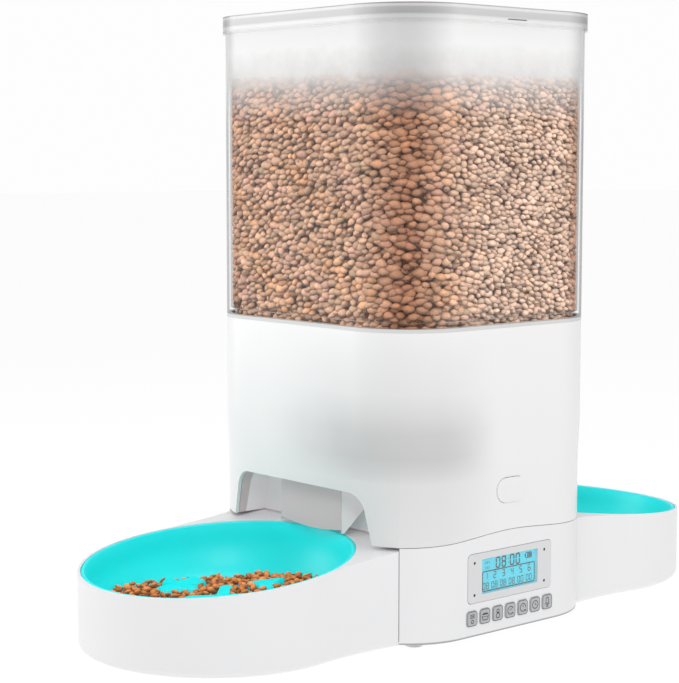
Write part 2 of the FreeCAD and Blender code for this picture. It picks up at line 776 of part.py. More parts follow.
def make_bowls():
    """Bowl of revolution with a flanged rim and raised slow-feeding ridges on its floor."""
    rim, wall, depth = size("bowl_radius"), size("bowl_wall"), size("bowl_depth")
    inner = [(rim - 1.6, -0.2), (rim - 5.5, -15.5), (rim - 12.5, -27.5), (rim - 23, -34.6)]
    outer = [(rim - 2.1, -2.1), (rim - 3.7, -16), (rim - 10.6, -28.8), (rim - 22, -36.6)]

    def curve(points):
        spline = Part.BSplineCurve()
        spline.interpolate([Vector(r, 0, z) for r, z in points])
        return spline.toShape()

    def line(a, b):
        return Part.makeLine(Vector(a[0], 0, a[1]), Vector(b[0], 0, b[1]))

    floor_in, floor_out = (0, -depth + wall), (0, -depth)
    profile = Part.Wire([
        line(floor_in, inner[-1]),
        curve(inner[::-1]),
        line(inner[0], (rim, -0.2)),
        line((rim, -0.2), (rim, -2.1)),
        line((rim, -2.1), outer[0]),
        curve(outer),
        line(outer[-1], floor_out),
        line(floor_out, floor_in),
    ])
    bowl = Part.Face(profile).revolve(Vector(), Vector(0, 0, 1), 360)
    low, rise = -depth + 1, 8
    bars = [
        cuboid(x - 5, x + 5, y - 14, y + 14, low, low + rise) for x in (-31, 31) for y in (-35, 35)
    ]
    arms = []
    for angle in (45, -45):
        arm = cuboid(-5, 5, -14, 14, low, low + rise + 1)
        arm.rotate(Vector(), Vector(0, 0, 1), angle)
        arms.append(arm)
    fins = [
        prism(polygon([Vector(s * 26, -16, low), Vector(s * 52, 0, low), Vector(s * 26, 16, low)]), rise)
        for s in (-1, 1)
    ]
    tulips = [
        cuboid(-16, 16, y - 6, y + 6, low, low + rise).fuse(
            Part.makeCylinder(6.5, rise, Vector(0, y + 11, low))
        )
        for y in (-42, 36)
    ]
    keep = Part.makeCylinder(58, 20, Vector(0, 0, low))
    ridges = [r.common(keep) for r in bars + arms + fins + tulips]
    bowl = bowl.fuse(ridges).removeSplitter()
    left = bowl_frame()
    right = Placement(Vector(), Rotation(Vector(0, 0, 1), 180)).multiply(left)
    shaped("bowl_left", bowl, left)
    shaped("bowl_right", bowl, right)


# ---------------------------------------------------------------- base


def band(outer_inset, inner_inset):
    """Wall-like band that follows the base's plan between two insets."""
    height = size("base_top")
    return prism(base_plan(0, outer_inset), height).cut(prism(base_plan(-1, inner_inset), height + 2))


def make_base():
    """White base shell with a deck, screw bosses, panel cut-outs and slots for the trays' tongues."""
    bottom, deck, wall = size("shell_bottom"), size("base_top"), size("wall")
    outer = prism(base_plan(bottom), 80).common(below_seam())
    cavity = prism(base_plan(bottom - 1, wall), deck - wall - bottom + 1)
    crown = prism(base_plan(deck, wall), 20)
    shell = outer.cut(cavity).cut(crown)
    front = -size("tower_half_y")
    bosses = []
    for x, y in SCREW_SPOTS:
        post = Part.makeCylinder(4, deck - wall - 4, Vector(x, y, 4.2))
        bosses.append(post.cut(Part.makeCylinder(1.6, 16, Vector(x, y, 4))))
    for x, z in BOARD_SPOTS:
        post = Part.makeCylinder(3, 8.4, Vector(x, front + wall - 0.2, z), Vector(0, 1, 0))
        pilot = Part.makeCylinder(1.2, 7, Vector(x, front + wall + 1.3, z), Vector(0, 1, 0))
        bosses.append(post.cut(pilot))
    shell = shell.fuse(bosses)
    pocket = cuboid(
        -size("bezel_width") / 2 - 0.3, size("bezel_width") / 2 + 0.3, front - 1, front + 1.25,
        size("bezel_bottom") - 0.3, size("bezel_bottom") + size("bezel_height") + 0.3,
    )
    corner = [e for e in pocket.Edges if e.BoundBox.YLength > 1]
    pocket = pocket.makeFillet(3.1, corner)
    half = size("screen_width") / 2 + 0.8
    screen = cuboid(-half, half, front - 1, front + 4, size("screen_bottom") - 0.8,
                    size("screen_bottom") + size("screen_height") + 0.8)
    holes = [pocket, screen]
    for number in range(7):
        x = (number - 3) * size("button_pitch")
        w, h = size("button_width") / 2 + 0.2, size("button_height") / 2 + 0.2
        z = size("button_level")
        hole = cuboid(x - w, x + w, front - 1, front + 4, z - h, z + h)
        upright = [e for e in hole.Edges if e.BoundBox.YLength > 1]
        holes.append(hole.makeFillet(2.2, upright))
    slot_low = size("tongue_level") - 0.5
    for side in (-1, 1):
        x0, x1 = sorted((side * (size("base_half_x") - 5.5), side * (size("base_half_x") + 8.5)))
        for y in (-size("tongue_y"), size("tongue_y")):
            holes.append(cuboid(x0, x1, y - 7.5, y + 7.5, slot_low, slot_low + 5))
    wire_hole = cuboid(-20, -8, 40, 60, deck - 4, deck + 2)
    above_deck = cuboid(-80, 80, -75, 75, deck, deck + 10)
    holes += [wire_hole, above_deck]
    for hole in holes:
        shell = shell.cut(hole)
    panel_left, panel_right, panel_top, rear, depth = 31, 57, 41, 85, 15
    notch = cuboid(panel_left, panel_right, rear, rear + depth, 0, panel_top)
    around = cuboid(panel_left - 1.5, panel_right + 1.5, rear, rear + depth, 0, panel_top + 1.5)
    groove = band(0.7, 1.7).common(around)
    shell = shell.cut(notch).cut(groove)
    shaped("base_shell", shell.removeSplitter())

    low = size("foot_height") + 2.7
    panel = band(0, wall).common(
        cuboid(panel_left + 0.3, panel_right - 0.3, rear, rear + depth, low, panel_top - 0.3)
    )
    tongue = band(0.9, 1.5).common(
        cuboid(panel_left - 1.2, panel_right + 1.2, rear, rear + depth, low, panel_top + 1.2)
    )
    jack = Vector(size("jack_x"), rear, size("jack_level"))
    panel = panel.fuse(tongue).cut(Part.makeCylinder(5.6, depth, jack, Vector(0, 1, 0)))
    shaped("socket_panel", panel.removeSplitter())

    plate = prism(base_plan(size("foot_height"), 3.2), 2.6)
    plate = plate.cut(cuboid(-52.4, 52.4, 1.6, 110, 0, 2.6))
    plate = plate.cut(cuboid(-50, 50, 4, 68, 0, 8))
    for x, y in SCREW_SPOTS:
        plate = plate.cut(Part.makeCylinder(1.7, 9, Vector(x, y, 0)))
        plate = plate.cut(Part.makeCylinder(3.4, 1.4, Vector(x, y, 1)))
    sound_pitch, sound_y = 5, size("speaker_y")
    for row in range(-2, 3):
        for column in range(-3, 4):
            spot = Vector(column * sound_pitch, sound_y + row * sound_pitch, 0)
            plate = plate.cut(Part.makeCylinder(1.1, 9, spot))
    shaped("base_plate", plate)

    screws = []
    for x, y in SCREW_SPOTS:
        head = Part.makeCylinder(3.2, 1.0, Vector(x, y, 1.3))
        screws.append(head.fuse(Part.makeCylinder(1.5, 14, Vector(x, y, 2.2))).removeSplitter())
    shaped("base_screws", Part.makeCompound(screws))


def make_battery_bay():
    """Cell compartment in the rear of the base, its three cells, springs and slide-out door."""
    tray = block("bay_outer", "106", "68", "41", y="36", z="4.1")
    room = block("bay_inner", "103", "65", "39", y="36", z="3")
    node(cut("bay", tray, room), "battery_tray")
    cells, contacts = [], []
    can, start, level = "dims.cell_length - 3", "5.6", "22.5"
    for number in (-1, 0, 1):
        x = f"{number} * (2 * dims.cell_radius + 0.8)"
        body = rod(f"cell_{number}", "dims.cell_radius", can, x=x, y=start, z=level, along="y")
        tip = rod(f"cell_tip_{number}", "4.5", "3", x=x, y=f"{start} + {can}", z=level, along="y")
        cells.append(fuse(f"cell_solid_{number}", body, tip))
        contacts.append(block(f"contact_a_{number}", "16", "0.8", "16", x=x, y="4.6", z="15"))
        contacts.append(block(f"contact_b_{number}", "12", "0.8", "12", x=x, y="67.6", z="17"))
    node(group("cells", cells), "battery_cells")
    node(group("contacts", contacts), "battery_contacts")
    door = slab("door_plate", "51.6", "46.5", "2", "dims.foot_height + 0.05", "0.9")
    door.setExpression("Placement.Base.y", "48.6")
    thumb = block("door_thumb", "24", "3", "0.5", y="60", z="dims.foot_height")
    groove = block("door_groove", "24", "3", "0.5", y="70", z="dims.foot_height")
    node(cut("door", door, thumb, groove), "battery_door")


def make_controls():
    """Display, seven keys and the boards behind the control panel."""
    front = "-dims.tower_half_y"
    bezel = facing_slab("bezel_plate", "dims.bezel_width / 2", "dims.bezel_height / 2", "3",
                        "dims.bezel_bottom + dims.bezel_height / 2", f"{front} - 0.2", "1.3")
    opening = facing_slab("bezel_opening", "dims.screen_width / 2", "dims.screen_height / 2", "0.8",
                          "dims.screen_bottom + dims.screen_height / 2", f"{front} - 2", "6")
    pin_holes, pins = [], []
    for x, z in ((-30.5, 47.0), (30.0, 47.0), (30.0, 27.5), (-30.5, 27.5)):
        tag = f"{int(x)}_{int(z)}".replace("-", "n")
        at = {"x": f"{x}", "z": f"{z}", "along": "y"}
        pin_holes.append(rod(f"pin_hole_{tag}", "0.9", "3", y=f"{front} - 1.5", **at))
        pins.append(rod(f"pin_{tag}", "0.8", "1.1", y=f"{front} - 0.1", **at))
    node(cut("bezel", bezel, opening, *pin_holes), "display_bezel")
    node(group("pins", pins), "bezel_pins")
    window = facing_slab("window_plate", "dims.screen_width / 2 - 0.1", "dims.screen_height / 2 - 0.1",
                         "0.7", "dims.screen_bottom + dims.screen_height / 2", f"{front} - 0.1", "0.7")
    node(window, "display_window")
    glass = facing_slab("lcd_glass", "dims.screen_width / 2 + 0.5", "dims.screen_height / 2 + 0.5", "0.5",
                        "dims.screen_bottom + dims.screen_height / 2", f"{front} + 1.3", "5")
    node(glass, "lcd_module")

    names = ("menu", "portion", "lock", "clock_back", "clock_set", "clock", "record")
    switches = []
    for number, name in enumerate(names):
        x = f"{number - 3} * dims.button_pitch"
        cap = facing_slab(f"cap_{name}", "dims.button_width / 2", "dims.button_height / 2", "2",
                          "dims.button_level", f"{front} - 0.7", "4")
        cap.setExpression("Placement.Base.x", x)
        skirt = facing_slab(f"skirt_{name}", "dims.button_pitch / 2 - 0.3", "dims.button_height / 2 + 0.9",
                            "1", "dims.button_level", f"{front} + dims.wall + 0.3", "1")
        skirt.setExpression("Placement.Base.x", x)
        node(fuse(f"key_{name}", cap, skirt), f"button_{name}")
        switches.append(block(f"switch_{name}", "6", "1.8", "6", x=x, y=f"{front} + 5.6",
                              z="dims.button_level - 3"))
    node(group("switch_group", switches), "tact_switches")
    node(block("key_board", "82", "1.4", "13", y=f"{front} + 7.2", z="7"), "button_board")

    board = block("board", "100", "1.6", "46", y=f"{front} + 11.6", z="8")
    holes, fixings = [], []
    for x, z in BOARD_SPOTS:
        tag = f"{x}_{z}".replace("-", "n")
        at = {"x": f"{x}", "z": f"{z}", "along": "y"}
        holes.append(rod(f"board_hole_{tag}", "1.4", "4", y=f"{front} + 9.8", **at))
        head = rod(f"board_head_{tag}", "2.4", "1.4", y=f"{front} + 12.5", **at)
        stem = rod(f"board_stem_{tag}", "1.1", "8", y=f"{front} + 4.6", **at)
        fixings.append(fuse(f"board_screw_{tag}", head, stem))
    node(cut("board_drilled", board, *holes), "main_board")
    node(group("board_fixings", fixings), "board_screws")
    chips = [
        block("chip", "14", "1.6", "14", x="-20", y=f"{front} + 13.3", z="24"),
        block("driver", "8", "1.6", "6", x="12", y=f"{front} + 13.3", z="18"),
        rod("capacitor_a", "4", "10", x="26", y=f"{front} + 12.5", z="40", along="y"),
        rod("capacitor_b", "4", "10", x="36", y=f"{front} + 12.5", z="40", along="y"),
        block("socket_a", "12", "6", "6", x="-2", y=f"{front} + 15.5", z="40"),
        block("socket_b", "8", "6", "6", x="-34", y=f"{front} + 15.5", z="40"),
    ]
    node(group("chips", chips), "board_components")


def make_small_parts():
    """Release button, speaker, microphone, power inlet and rubber feet."""
    front = "-dims.tower_half_y"
    level = "dims.release_level"
    cap = facing_slab("release_cap", "12", "7.5", "7.45", level, f"{front} - 0.7", "5")
    flange = facing_slab("release_flange", "14.5", "6.5", "3", level, f"{front} + 2.8", "1.2")
    stem = block("release_stem", "10", "8", "6", y=f"{front} + 8", z=f"{level} - 3")
    node(fuse("release", cap, flange, stem), "release_button")

    frame = rod("speaker_frame", "18", "5", y="dims.speaker_y", z="4.4")
    magnet = rod("speaker_magnet", "9", "6", y="dims.speaker_y", z="9.4")
    dish = rod("speaker_dish", "15", "2", y="dims.speaker_y", z="4")
    node(cut("speaker_solid", fuse("speaker_body", frame, magnet), dish), "speaker")
    node(rod("microphone_can", "3", "2.4", x="36.5", y=f"{front} + 4", z="24", along="y"), "microphone")

    jack_x, jack_z = "dims.jack_x", "dims.jack_level"
    jack = block("jack_block", "11", "13", "11", x=jack_x, y="87", z=f"{jack_z} - 5.5")
    nose = rod("jack_nose", "5.4", "1.9", x=jack_x, y="92.4", z=jack_z, along="y")
    bore = rod("jack_bore", "2.75", "10", x=jack_x, y="86.3", z=jack_z, along="y")
    node(cut("jack", fuse("jack_body", jack, nose), bore), "power_inlet")

    feet = [
        rod(f"foot_{n}", "5", "dims.foot_height", x=f"{x}", y=f"{y}")
        for n, (x, y) in enumerate(((-64.5, -81), (64.5, -81), (-64.5, 81), (64.5, 81)))
    ]
    node(group("feet", feet), "base_feet")


# ---------------------------------------------------------------- assembly

make_housing()
make_gasket()
make_tank()
make_lid()
make_funnel()
make_drum()
make_rotor()
make_drive()
make_drum_deck()
make_chutes()
make_trays()
make_bowls()
make_base()
make_battery_bay()
make_controls()
make_small_parts()
doc.recompute()

faults = [f"{o.Label}: {o.State}" for o in doc.Objects if {"Invalid", "Error"} & set(o.State)]
for part in nodes:
    shape = part.Shape
    if shape.isNull() or not shape.isValid() or not shape.Solids:
        faults.append(f"{part.Label}: no valid shape")
if faults:
    raise RuntimeError("; ".join(faults))

os.makedirs("parts", exist_ok=True)
for part in nodes:
    part.Shape.exportStep(f"parts/{part.Label}.step")
    box = part.Shape.optimalBoundingBox()
    print(
        f"{part.Label:18s} solids {len(part.Shape.Solids):3d} volume {part.Shape.Volume / 1000:9.2f} cm3"
        f"  x {box.XMin:7.1f} {box.XMax:7.1f}  y {box.YMin:7.1f} {box.YMax:7.1f}"
        f"  z {box.ZMin:6.1f} {box.ZMax:6.1f}"
    )
print(len(nodes), "sub-parts")
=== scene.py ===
"""Looks of the automatic pet feeder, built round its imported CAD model. Metres, +Z up, panel towards -Y.

The bowls and the flat marks on the lid, the display and the keys are drawn in millimetres.
"""

import math
import random

import bmesh
import bpy
import numpy as np
from mathutils import Matrix, Vector


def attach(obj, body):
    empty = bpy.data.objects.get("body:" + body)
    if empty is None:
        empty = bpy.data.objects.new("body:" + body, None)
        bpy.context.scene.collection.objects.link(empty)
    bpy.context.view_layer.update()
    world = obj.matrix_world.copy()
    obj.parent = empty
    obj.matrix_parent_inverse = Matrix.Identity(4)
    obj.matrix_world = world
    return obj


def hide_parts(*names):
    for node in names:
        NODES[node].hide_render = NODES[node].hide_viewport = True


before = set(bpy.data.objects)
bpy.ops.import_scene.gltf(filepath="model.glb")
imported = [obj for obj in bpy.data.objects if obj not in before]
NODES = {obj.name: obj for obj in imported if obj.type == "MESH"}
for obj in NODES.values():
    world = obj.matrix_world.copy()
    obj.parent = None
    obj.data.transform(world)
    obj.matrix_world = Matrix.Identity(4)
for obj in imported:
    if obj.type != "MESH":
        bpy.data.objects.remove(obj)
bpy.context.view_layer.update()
MM = 0.001
KEY_NAMES = ("menu", "portion", "lock", "clock_back", "clock_set", "clock", "record")

# Inner wall of the tank and of the narrower mouth under its ledge: half X, half Y, corner radius.
TANK_WALL = (0.0856, 0.0946, 0.0406)
MOUTH_WALL = (0.0828, 0.0918, 0.0378)
CORNER_X, CORNER_Y = 0.045, 0.054  # centre of the rounded corners
FOOD_BOTTOM, LEDGE, FOOD_TOP = 0.1795, 0.1932, 0.3350
FLAT_FACE_Y = 0.09  # a wall point further out than this is on the front or the back
PIECE_GAP = 0.0046  # usual space from one piece of food to the next

# ---------------------------------------------------------------- shader helpers


def material(name):
    """Empty node material: (material, nodes, links, principled shader)."""
    mat = bpy.data.materials.new(name)
    mat.use_nodes = True
    tree = mat.node_tree
    return mat, tree.nodes, tree.links, tree.nodes["Principled BSDF"]


def object_noise(nodes, links, scale, detail):
    """Noise fixed to the object's own coordinates."""
    place = nodes.new("ShaderNodeTexCoord")
    noise = nodes.new("ShaderNodeTexNoise")
    noise.inputs["Scale"].default_value = scale
    noise.inputs["Detail"].default_value = detail
    links.new(place.outputs["Object"], noise.inputs["Vector"])
    return noise.outputs["Fac"]


def place_parts(nodes, links):
    """The X, Y and Z of the object's own coordinates."""
    place = nodes.new("ShaderNodeTexCoord")
    split = nodes.new("ShaderNodeSeparateXYZ")
    links.new(place.outputs["Object"], split.inputs["Vector"])
    return [split.outputs[axis] for axis in "XYZ"]


def math_node(nodes, links, operation, *values):
    """Plain arithmetic on sockets or numbers."""
    node = nodes.new("ShaderNodeMath")
    node.operation = operation
    for socket, value in zip(node.inputs, values):
        if isinstance(value, (int, float)):
            socket.default_value = value
        else:
            links.new(value, socket)
    return node.outputs["Value"]


def shaken(nodes, links, source, amount, scale, detail):
    """The source moved up and down by noise, by half the amount each way."""
    noise = object_noise(nodes, links, scale, detail)
    lowered = math_node(nodes, links, "SUBTRACT", source, amount / 2)
    return math_node(nodes, links, "MULTIPLY_ADD", noise, amount, lowered)


def ramp(nodes, links, source, low, high, start=0.35, end=0.65):
    """Colour ramp between two colours over a factor."""
    node = nodes.new("ShaderNodeValToRGB")
    node.color_ramp.elements[0].position = start
    node.color_ramp.elements[1].position = end
    node.color_ramp.elements[0].color = (*low, 1)
    node.color_ramp.elements[1].color = (*high, 1)
    links.new(source, node.inputs["Fac"])
    return node.outputs["Color"]


def span(nodes, links, source, low, high):
    """Maps a 0..1 factor to a range of plain values."""
    node = nodes.new("ShaderNodeMapRange")
    node.inputs["To Min"].default_value = low
    node.inputs["To Max"].default_value = high
    links.new(source, node.inputs["Value"])
    return node.outputs["Result"]


def smooth_span(nodes, links, source, start, end, low=0.0, high=1.0):
    """Smooth step from low to high while the source runs from start to end."""
    node = nodes.new("ShaderNodeMapRange")
    node.interpolation_type = "SMOOTHSTEP"
    node.inputs["From Min"].default_value = start
    node.inputs["From Max"].default_value = end
    node.inputs["To Min"].default_value = low
    node.inputs["To Max"].default_value = high
    links.new(source, node.inputs["Value"])
    return node.outputs["Result"]


def stops(nodes, links, source, start, end, marks):
    """Value that follows marks (place, value) over a source running from start to end."""
    share = nodes.new("ShaderNodeMapRange")
    share.inputs["From Min"].default_value = start
    share.inputs["From Max"].default_value = end
    links.new(source, share.inputs["Value"])
    node = nodes.new("ShaderNodeValToRGB")
    elements = node.color_ramp.elements
    while len(elements) < len(marks):
        elements.new(0.5)
    for element, (place, value) in zip(elements, marks):
        element.position = (place - start) / (end - start)
        element.color = (value, value, value, 1)
    links.new(share.outputs["Result"], node.inputs["Fac"])
    return node.outputs["Color"]


def bump(nodes, links, shader, source, strength, distance):
    """Fine relief from a factor."""
    node = nodes.new("ShaderNodeBump")
    node.inputs["Strength"].default_value = strength
    node.inputs["Distance"].default_value = distance
    links.new(source, node.inputs["Height"])
    links.new(node.outputs["Normal"], shader.inputs["Normal"])


def moulded_finish(nodes, links, shader, roughness, relief):
    """Fine moulded grain with slightly uneven gloss."""
    grain = object_noise(nodes, links, 900, 2)
    uneven = span(nodes, links, grain, roughness - 0.04, roughness + 0.04)
    links.new(uneven, shader.inputs["Roughness"])
    bump(nodes, links, shader, grain, relief, 0.0002)


def tinted(nodes, links, shader, factor, low, high):
    """Base colour between two tones over a factor."""
    links.new(ramp(nodes, links, factor, low, high, 0.0, 1.0), shader.inputs["Base Color"])


def glow(shader, colour, strength):
    """Slight light of the piece's own, as the photograph is a bright cut-out."""
    shader.inputs["Emission Color"].default_value = (*colour, 1)
    shader.inputs["Emission Strength"].default_value = strength


def corner_factor(nodes, links, x, y):
    """1 at the middle of the tower's rounded corners, 0 on its flat sides."""
    reach = 0.0304
    shares = [
        smooth_span(nodes, links, math_node(nodes, links, "ABSOLUTE", source), start, start + reach)
        for source, start in ((x, CORNER_X), (y, CORNER_Y))
    ]
    return math_node(nodes, links, "MULTIPLY", *shares)


def edge_line(nodes, links, start, end, amount):
    """Extra body where clear plastic is seen edge-on."""
    edge = nodes.new("ShaderNodeLayerWeight")
    edge.inputs["Blend"].default_value = 0.5
    return smooth_span(nodes, links, edge.outputs["Facing"], start, end, 0.0, amount)


# ---------------------------------------------------------------- materials


def plastic(name, colour, roughness, vary, relief=0.04, coat=0.0):
    """Moulded plastic or rubber with a faintly uneven tone."""
    mat, nodes, links, shader = material(name)
    tone = object_noise(nodes, links, 14, 4)
    low = [max(0, c - vary) for c in colour]
    high = [min(1, c + vary) for c in colour]
    links.new(ramp(nodes, links, tone, low, high), shader.inputs["Base Color"])
    moulded_finish(nodes, links, shader, roughness, relief)
    shader.inputs["Coat Weight"].default_value = coat
    shader.inputs["Coat Roughness"].default_value = 0.08
    return mat


def ink(name, colour):
    """Flat printed or shadowed mark."""
    return plastic(name, colour, 0.6, 0.005, relief=0.0)


def bowl_plastic(name):
    """Satin turquoise of the bowls, with a painted turquoise glow that lifts their shaded insides."""
    mat = plastic(name, (0.006, 0.90, 0.92), 0.44, 0.004, coat=0.04)
    # painted light: the bowls glow, though they are no lamp
    glow(mat.node_tree.nodes["Principled BSDF"], (0.002, 0.62, 0.65), 0.16)
    return mat


def metal(name, colour, roughness=0.3):
    """Brushed or plated metal."""
    mat, nodes, links, shader = material(name)
    shader.inputs["Metallic"].default_value = 1.0
    fine = object_noise(nodes, links, 500, 3)
    low = [c * 0.9 for c in colour]
    links.new(ramp(nodes, links, fine, low, colour), shader.inputs["Base Color"])
    links.new(span(nodes, links, fine, roughness - 0.07, roughness + 0.07), shader.inputs["Roughness"])
    return mat


def clear_plastic(name, colour, alpha, roughness=0.06):
    """Thin clear plastic: mostly see-through, with a glossy face."""
    mat, nodes, links, shader = material(name)
    shader.inputs["Base Color"].default_value = (*colour, 1)
    haze = object_noise(nodes, links, 30, 2)
    links.new(span(nodes, links, haze, roughness, roughness + 0.03), shader.inputs["Roughness"])
    shader.inputs["Alpha"].default_value = alpha
    return mat


def tank_plastic(name):
    """Clear hopper wall: misty above the food, with painted shade that greys its corners and -X side, denser
    seen edge-on, and a faint painted white glow.
    """
    mist_over_z = [(0.310, 0.03), (0.326, 0.20), (0.338, 0.52), (0.352, 0.80)]
    corner_painted_shade_over_z = [(0.19, 1.0), (0.300, 0.8), (0.335, 0.36), (0.36, 0.36)]
    side_painted_shade_over_x = [(-0.0875, 0.13), (-0.08, 0.0)]
    mat, nodes, links, shader = material(name)
    x, y, z = place_parts(nodes, links)
    mist = stops(nodes, links, shaken(nodes, links, z, 0.010, 90, 3), 0.300, 0.370, mist_over_z)
    body = math_node(nodes, links, "ADD", mist, edge_line(nodes, links, 0.66, 0.86, 0.95))
    links.new(math_node(nodes, links, "MINIMUM", body, 1.0), shader.inputs["Alpha"])
    corner_painted_shade = stops(nodes, links, z, 0.18, 0.37, corner_painted_shade_over_z)
    side_painted_shade = stops(nodes, links, x, -0.09, 0.09, side_painted_shade_over_x)
    corner = corner_factor(nodes, links, x, y)
    # painted shade: the corners, mostly below the mist, and the -X side are tinted dark grey
    factor = math_node(nodes, links, "MULTIPLY_ADD", corner, corner_painted_shade, side_painted_shade)
    tinted(nodes, links, shader, factor, (0.97, 0.97, 0.97), (0.14, 0.145, 0.15))
    shader.inputs["Roughness"].default_value = 0.28
    shader.inputs["Specular IOR Level"].default_value = 0.28
    # painted light: a faint white glow on the clear wall
    glow(shader, (1, 1, 1), 0.05)
    return mat


def lid_plastic(name):
    """Milky lid: grey line along its top edge, grey band where the seal shows through, painted shade greying
    its corners, and a clear foot.
    """
    tone_over_z = [
        (0.3680, 0.06), (0.3690, 0.30), (0.3722, 0.26), (0.3732, 0.0),
        (0.3741, 0.05), (0.3746, 0.62), (0.3748, 0.62), (0.37495, 0.08),
    ]
    foot_over_z = [(0.3638, 0.0), (0.3666, 1.0)]
    mat, nodes, links, shader = material(name)
    x, y, z = place_parts(nodes, links)
    tone = stops(nodes, links, z, 0.3625, 0.376, tone_over_z)
    # painted shade: the lid's rounded corners are tinted greyer
    factor = math_node(nodes, links, "MULTIPLY_ADD", corner_factor(nodes, links, x, y), 0.28, tone)
    tinted(nodes, links, shader, factor, (0.97, 0.97, 0.97), (0.10, 0.10, 0.105))
    body = math_node(nodes, links, "ADD", edge_line(nodes, links, 0.72, 0.9, 0.3), 0.72)
    foot = stops(nodes, links, z, 0.3625, 0.3685, foot_over_z)
    alpha = math_node(nodes, links, "MULTIPLY", math_node(nodes, links, "MINIMUM", body, 1.0), foot)
    links.new(alpha, shader.inputs["Alpha"])
    shader.inputs["Roughness"].default_value = 0.25
    return mat


def white_with_painted_corner_shade(name, colour):
    """White housing with painted shade that darkens it softly round one front corner."""
    painted_shade_over_z = [
        (0.060, 0.30), (0.097, 0.44), (0.104, 0.76), (0.112, 1.0), (0.127, 0.92),
        (0.137, 0.62), (0.150, 0.30), (0.172, 0.14), (0.186, 0.0),
    ]
    mat, nodes, links, shader = material(name)
    x, y, z = place_parts(nodes, links)
    squares = []
    for source, half, reach in ((x, 0.088, 0.055), (y, 0.097, 0.085)):
        from_corner = math_node(nodes, links, "ADD", source, half)
        scaled = math_node(nodes, links, "DIVIDE", from_corner, reach)
        squares.append(math_node(nodes, links, "MULTIPLY", scaled, scaled))
    apart = math_node(nodes, links, "SQRT", math_node(nodes, links, "ADD", *squares))
    near = smooth_span(nodes, links, shaken(nodes, links, apart, 0.3, 25, 2), 0.55, 1.5, 1.0, 0.0)
    level = stops(nodes, links, z, 0.05, 0.19, painted_shade_over_z)
    # painted shade: near the -X, -Y corner, strongest just above the lower block
    factor = math_node(nodes, links, "MULTIPLY", near, level)
    tinted(nodes, links, shader, factor, colour, [c * 0.68 for c in colour])
    moulded_finish(nodes, links, shader, 0.34, 0.04)
    return mat


def chute_plastic(name):
    """Grey chute: its outer face a shade darker than the deep sides, which lie in shadow and get painted
    light: a paler colour and a glow.
    """
    mat, nodes, links, shader = material(name)
    from_middle = math_node(nodes, links, "ABSOLUTE", place_parts(nodes, links)[0])
    outer = stops(nodes, links, from_middle, 0.07, 0.08, [(0.0757, 0.0), (0.0762, 1.0)])
    # painted light: the shadowed deep sides are given a paler colour than the outer face
    tinted(nodes, links, shader, outer, (0.93, 0.86, 0.87), (0.75, 0.61, 0.625))
    inner_light = ramp(nodes, links, outer, (1.0, 0.97, 0.98), (0.1, 0.1, 0.1), 0.0, 1.0)
    links.new(inner_light, shader.inputs["Emission Color"])
    shader.inputs["Emission Strength"].default_value = 0.07
    moulded_finish(nodes, links, shader, 0.42, 0.08)
    return mat


def edged_white(name, colour):
    """White plastic with a grey shadow line along its foot."""
    mat, nodes, links, shader = material(name)
    z = place_parts(nodes, links)[2]
    foot = stops(nodes, links, z, 0.0, 0.01, [(0.0030, 1.0), (0.0037, 0.0)])
    tinted(nodes, links, shader, foot, colour, (0.38, 0.38, 0.38))
    moulded_finish(nodes, links, shader, 0.34, 0.04)
    return mat


def food_material(name):
    """Baked dry food: each piece's own tone times its painted light, broken up by a fine crumb, with a faint
    painted glow.
    """
    mat, nodes, links, shader = material(name)
    # the tone attribute carries each piece's colour with its painted light and shade
    tone = nodes.new("ShaderNodeAttribute")
    tone.attribute_name = "tone"
    fine = object_noise(nodes, links, 700, 3)
    crumb = ramp(nodes, links, fine, (0.84, 0.82, 0.80), (1.08, 1.08, 1.08))
    mix = nodes.new("ShaderNodeMix")
    mix.data_type, mix.blend_type = "RGBA", "MULTIPLY"
    mix.inputs["Factor"].default_value = 1.0
    links.new(tone.outputs["Color"], mix.inputs["A"])
    links.new(crumb, mix.inputs["B"])
    links.new(mix.outputs["Result"], shader.inputs["Base Color"])
    # painted light: the food glows faintly in its own colour
    links.new(mix.outputs["Result"], shader.inputs["Emission Color"])
    shader.inputs["Emission Strength"].default_value = 0.06
    shader.inputs["Roughness"].default_value = 0.62
    bump(nodes, links, shader, fine, 0.35, 0.0004)
    return mat


def glowing_screen(name, colour, strength):
    """Backlit display face with a faintly uneven tone."""
    mat, nodes, links, shader = material(name)
    tone = object_noise(nodes, links, 25, 2)
    low = [c * 0.9 for c in colour]
    links.new(ramp(nodes, links, tone, low, colour), shader.inputs["Base Color"])
    shader.inputs["Roughness"].default_value = 0.3
    glow(shader, colour, strength)
    return mat


WHITE = plastic("white_plastic", (0.89, 0.89, 0.90), 0.33, 0.006)
WHITE_MATTE = plastic("white_matte_plastic", (0.82, 0.82, 0.83), 0.5, 0.01)
BASE_WHITE = edged_white("base_white_plastic", (0.89, 0.89, 0.90))
HOUSING_WHITE = white_with_painted_corner_shade("white_with_painted_corner_shade_plastic", (0.91, 0.90, 0.90))
TANK = tank_plastic("misty_tank_plastic")
LID = lid_plastic("milky_lid_plastic")
CHUTE = chute_plastic("grey_chute_plastic")
TURQUOISE = bowl_plastic("turquoise_bowl_plastic")
CLEAR = clear_plastic("clear_window_plastic", (0.93, 0.94, 0.95), 0.10)
BEZEL = plastic("light_grey_bezel_plastic", (0.75, 0.75, 0.76), 0.4, 0.008)
INNER = plastic("inner_grey_plastic", (0.6, 0.61, 0.62), 0.5, 0.01)
DARK = plastic("dark_plastic", (0.03, 0.03, 0.033), 0.5, 0.01)
SEAL = plastic("grey_seal_rubber", (0.50, 0.51, 0.52), 0.6, 0.02)
GASKET = plastic("light_gasket_rubber", (0.70, 0.70, 0.69), 0.5, 0.01)
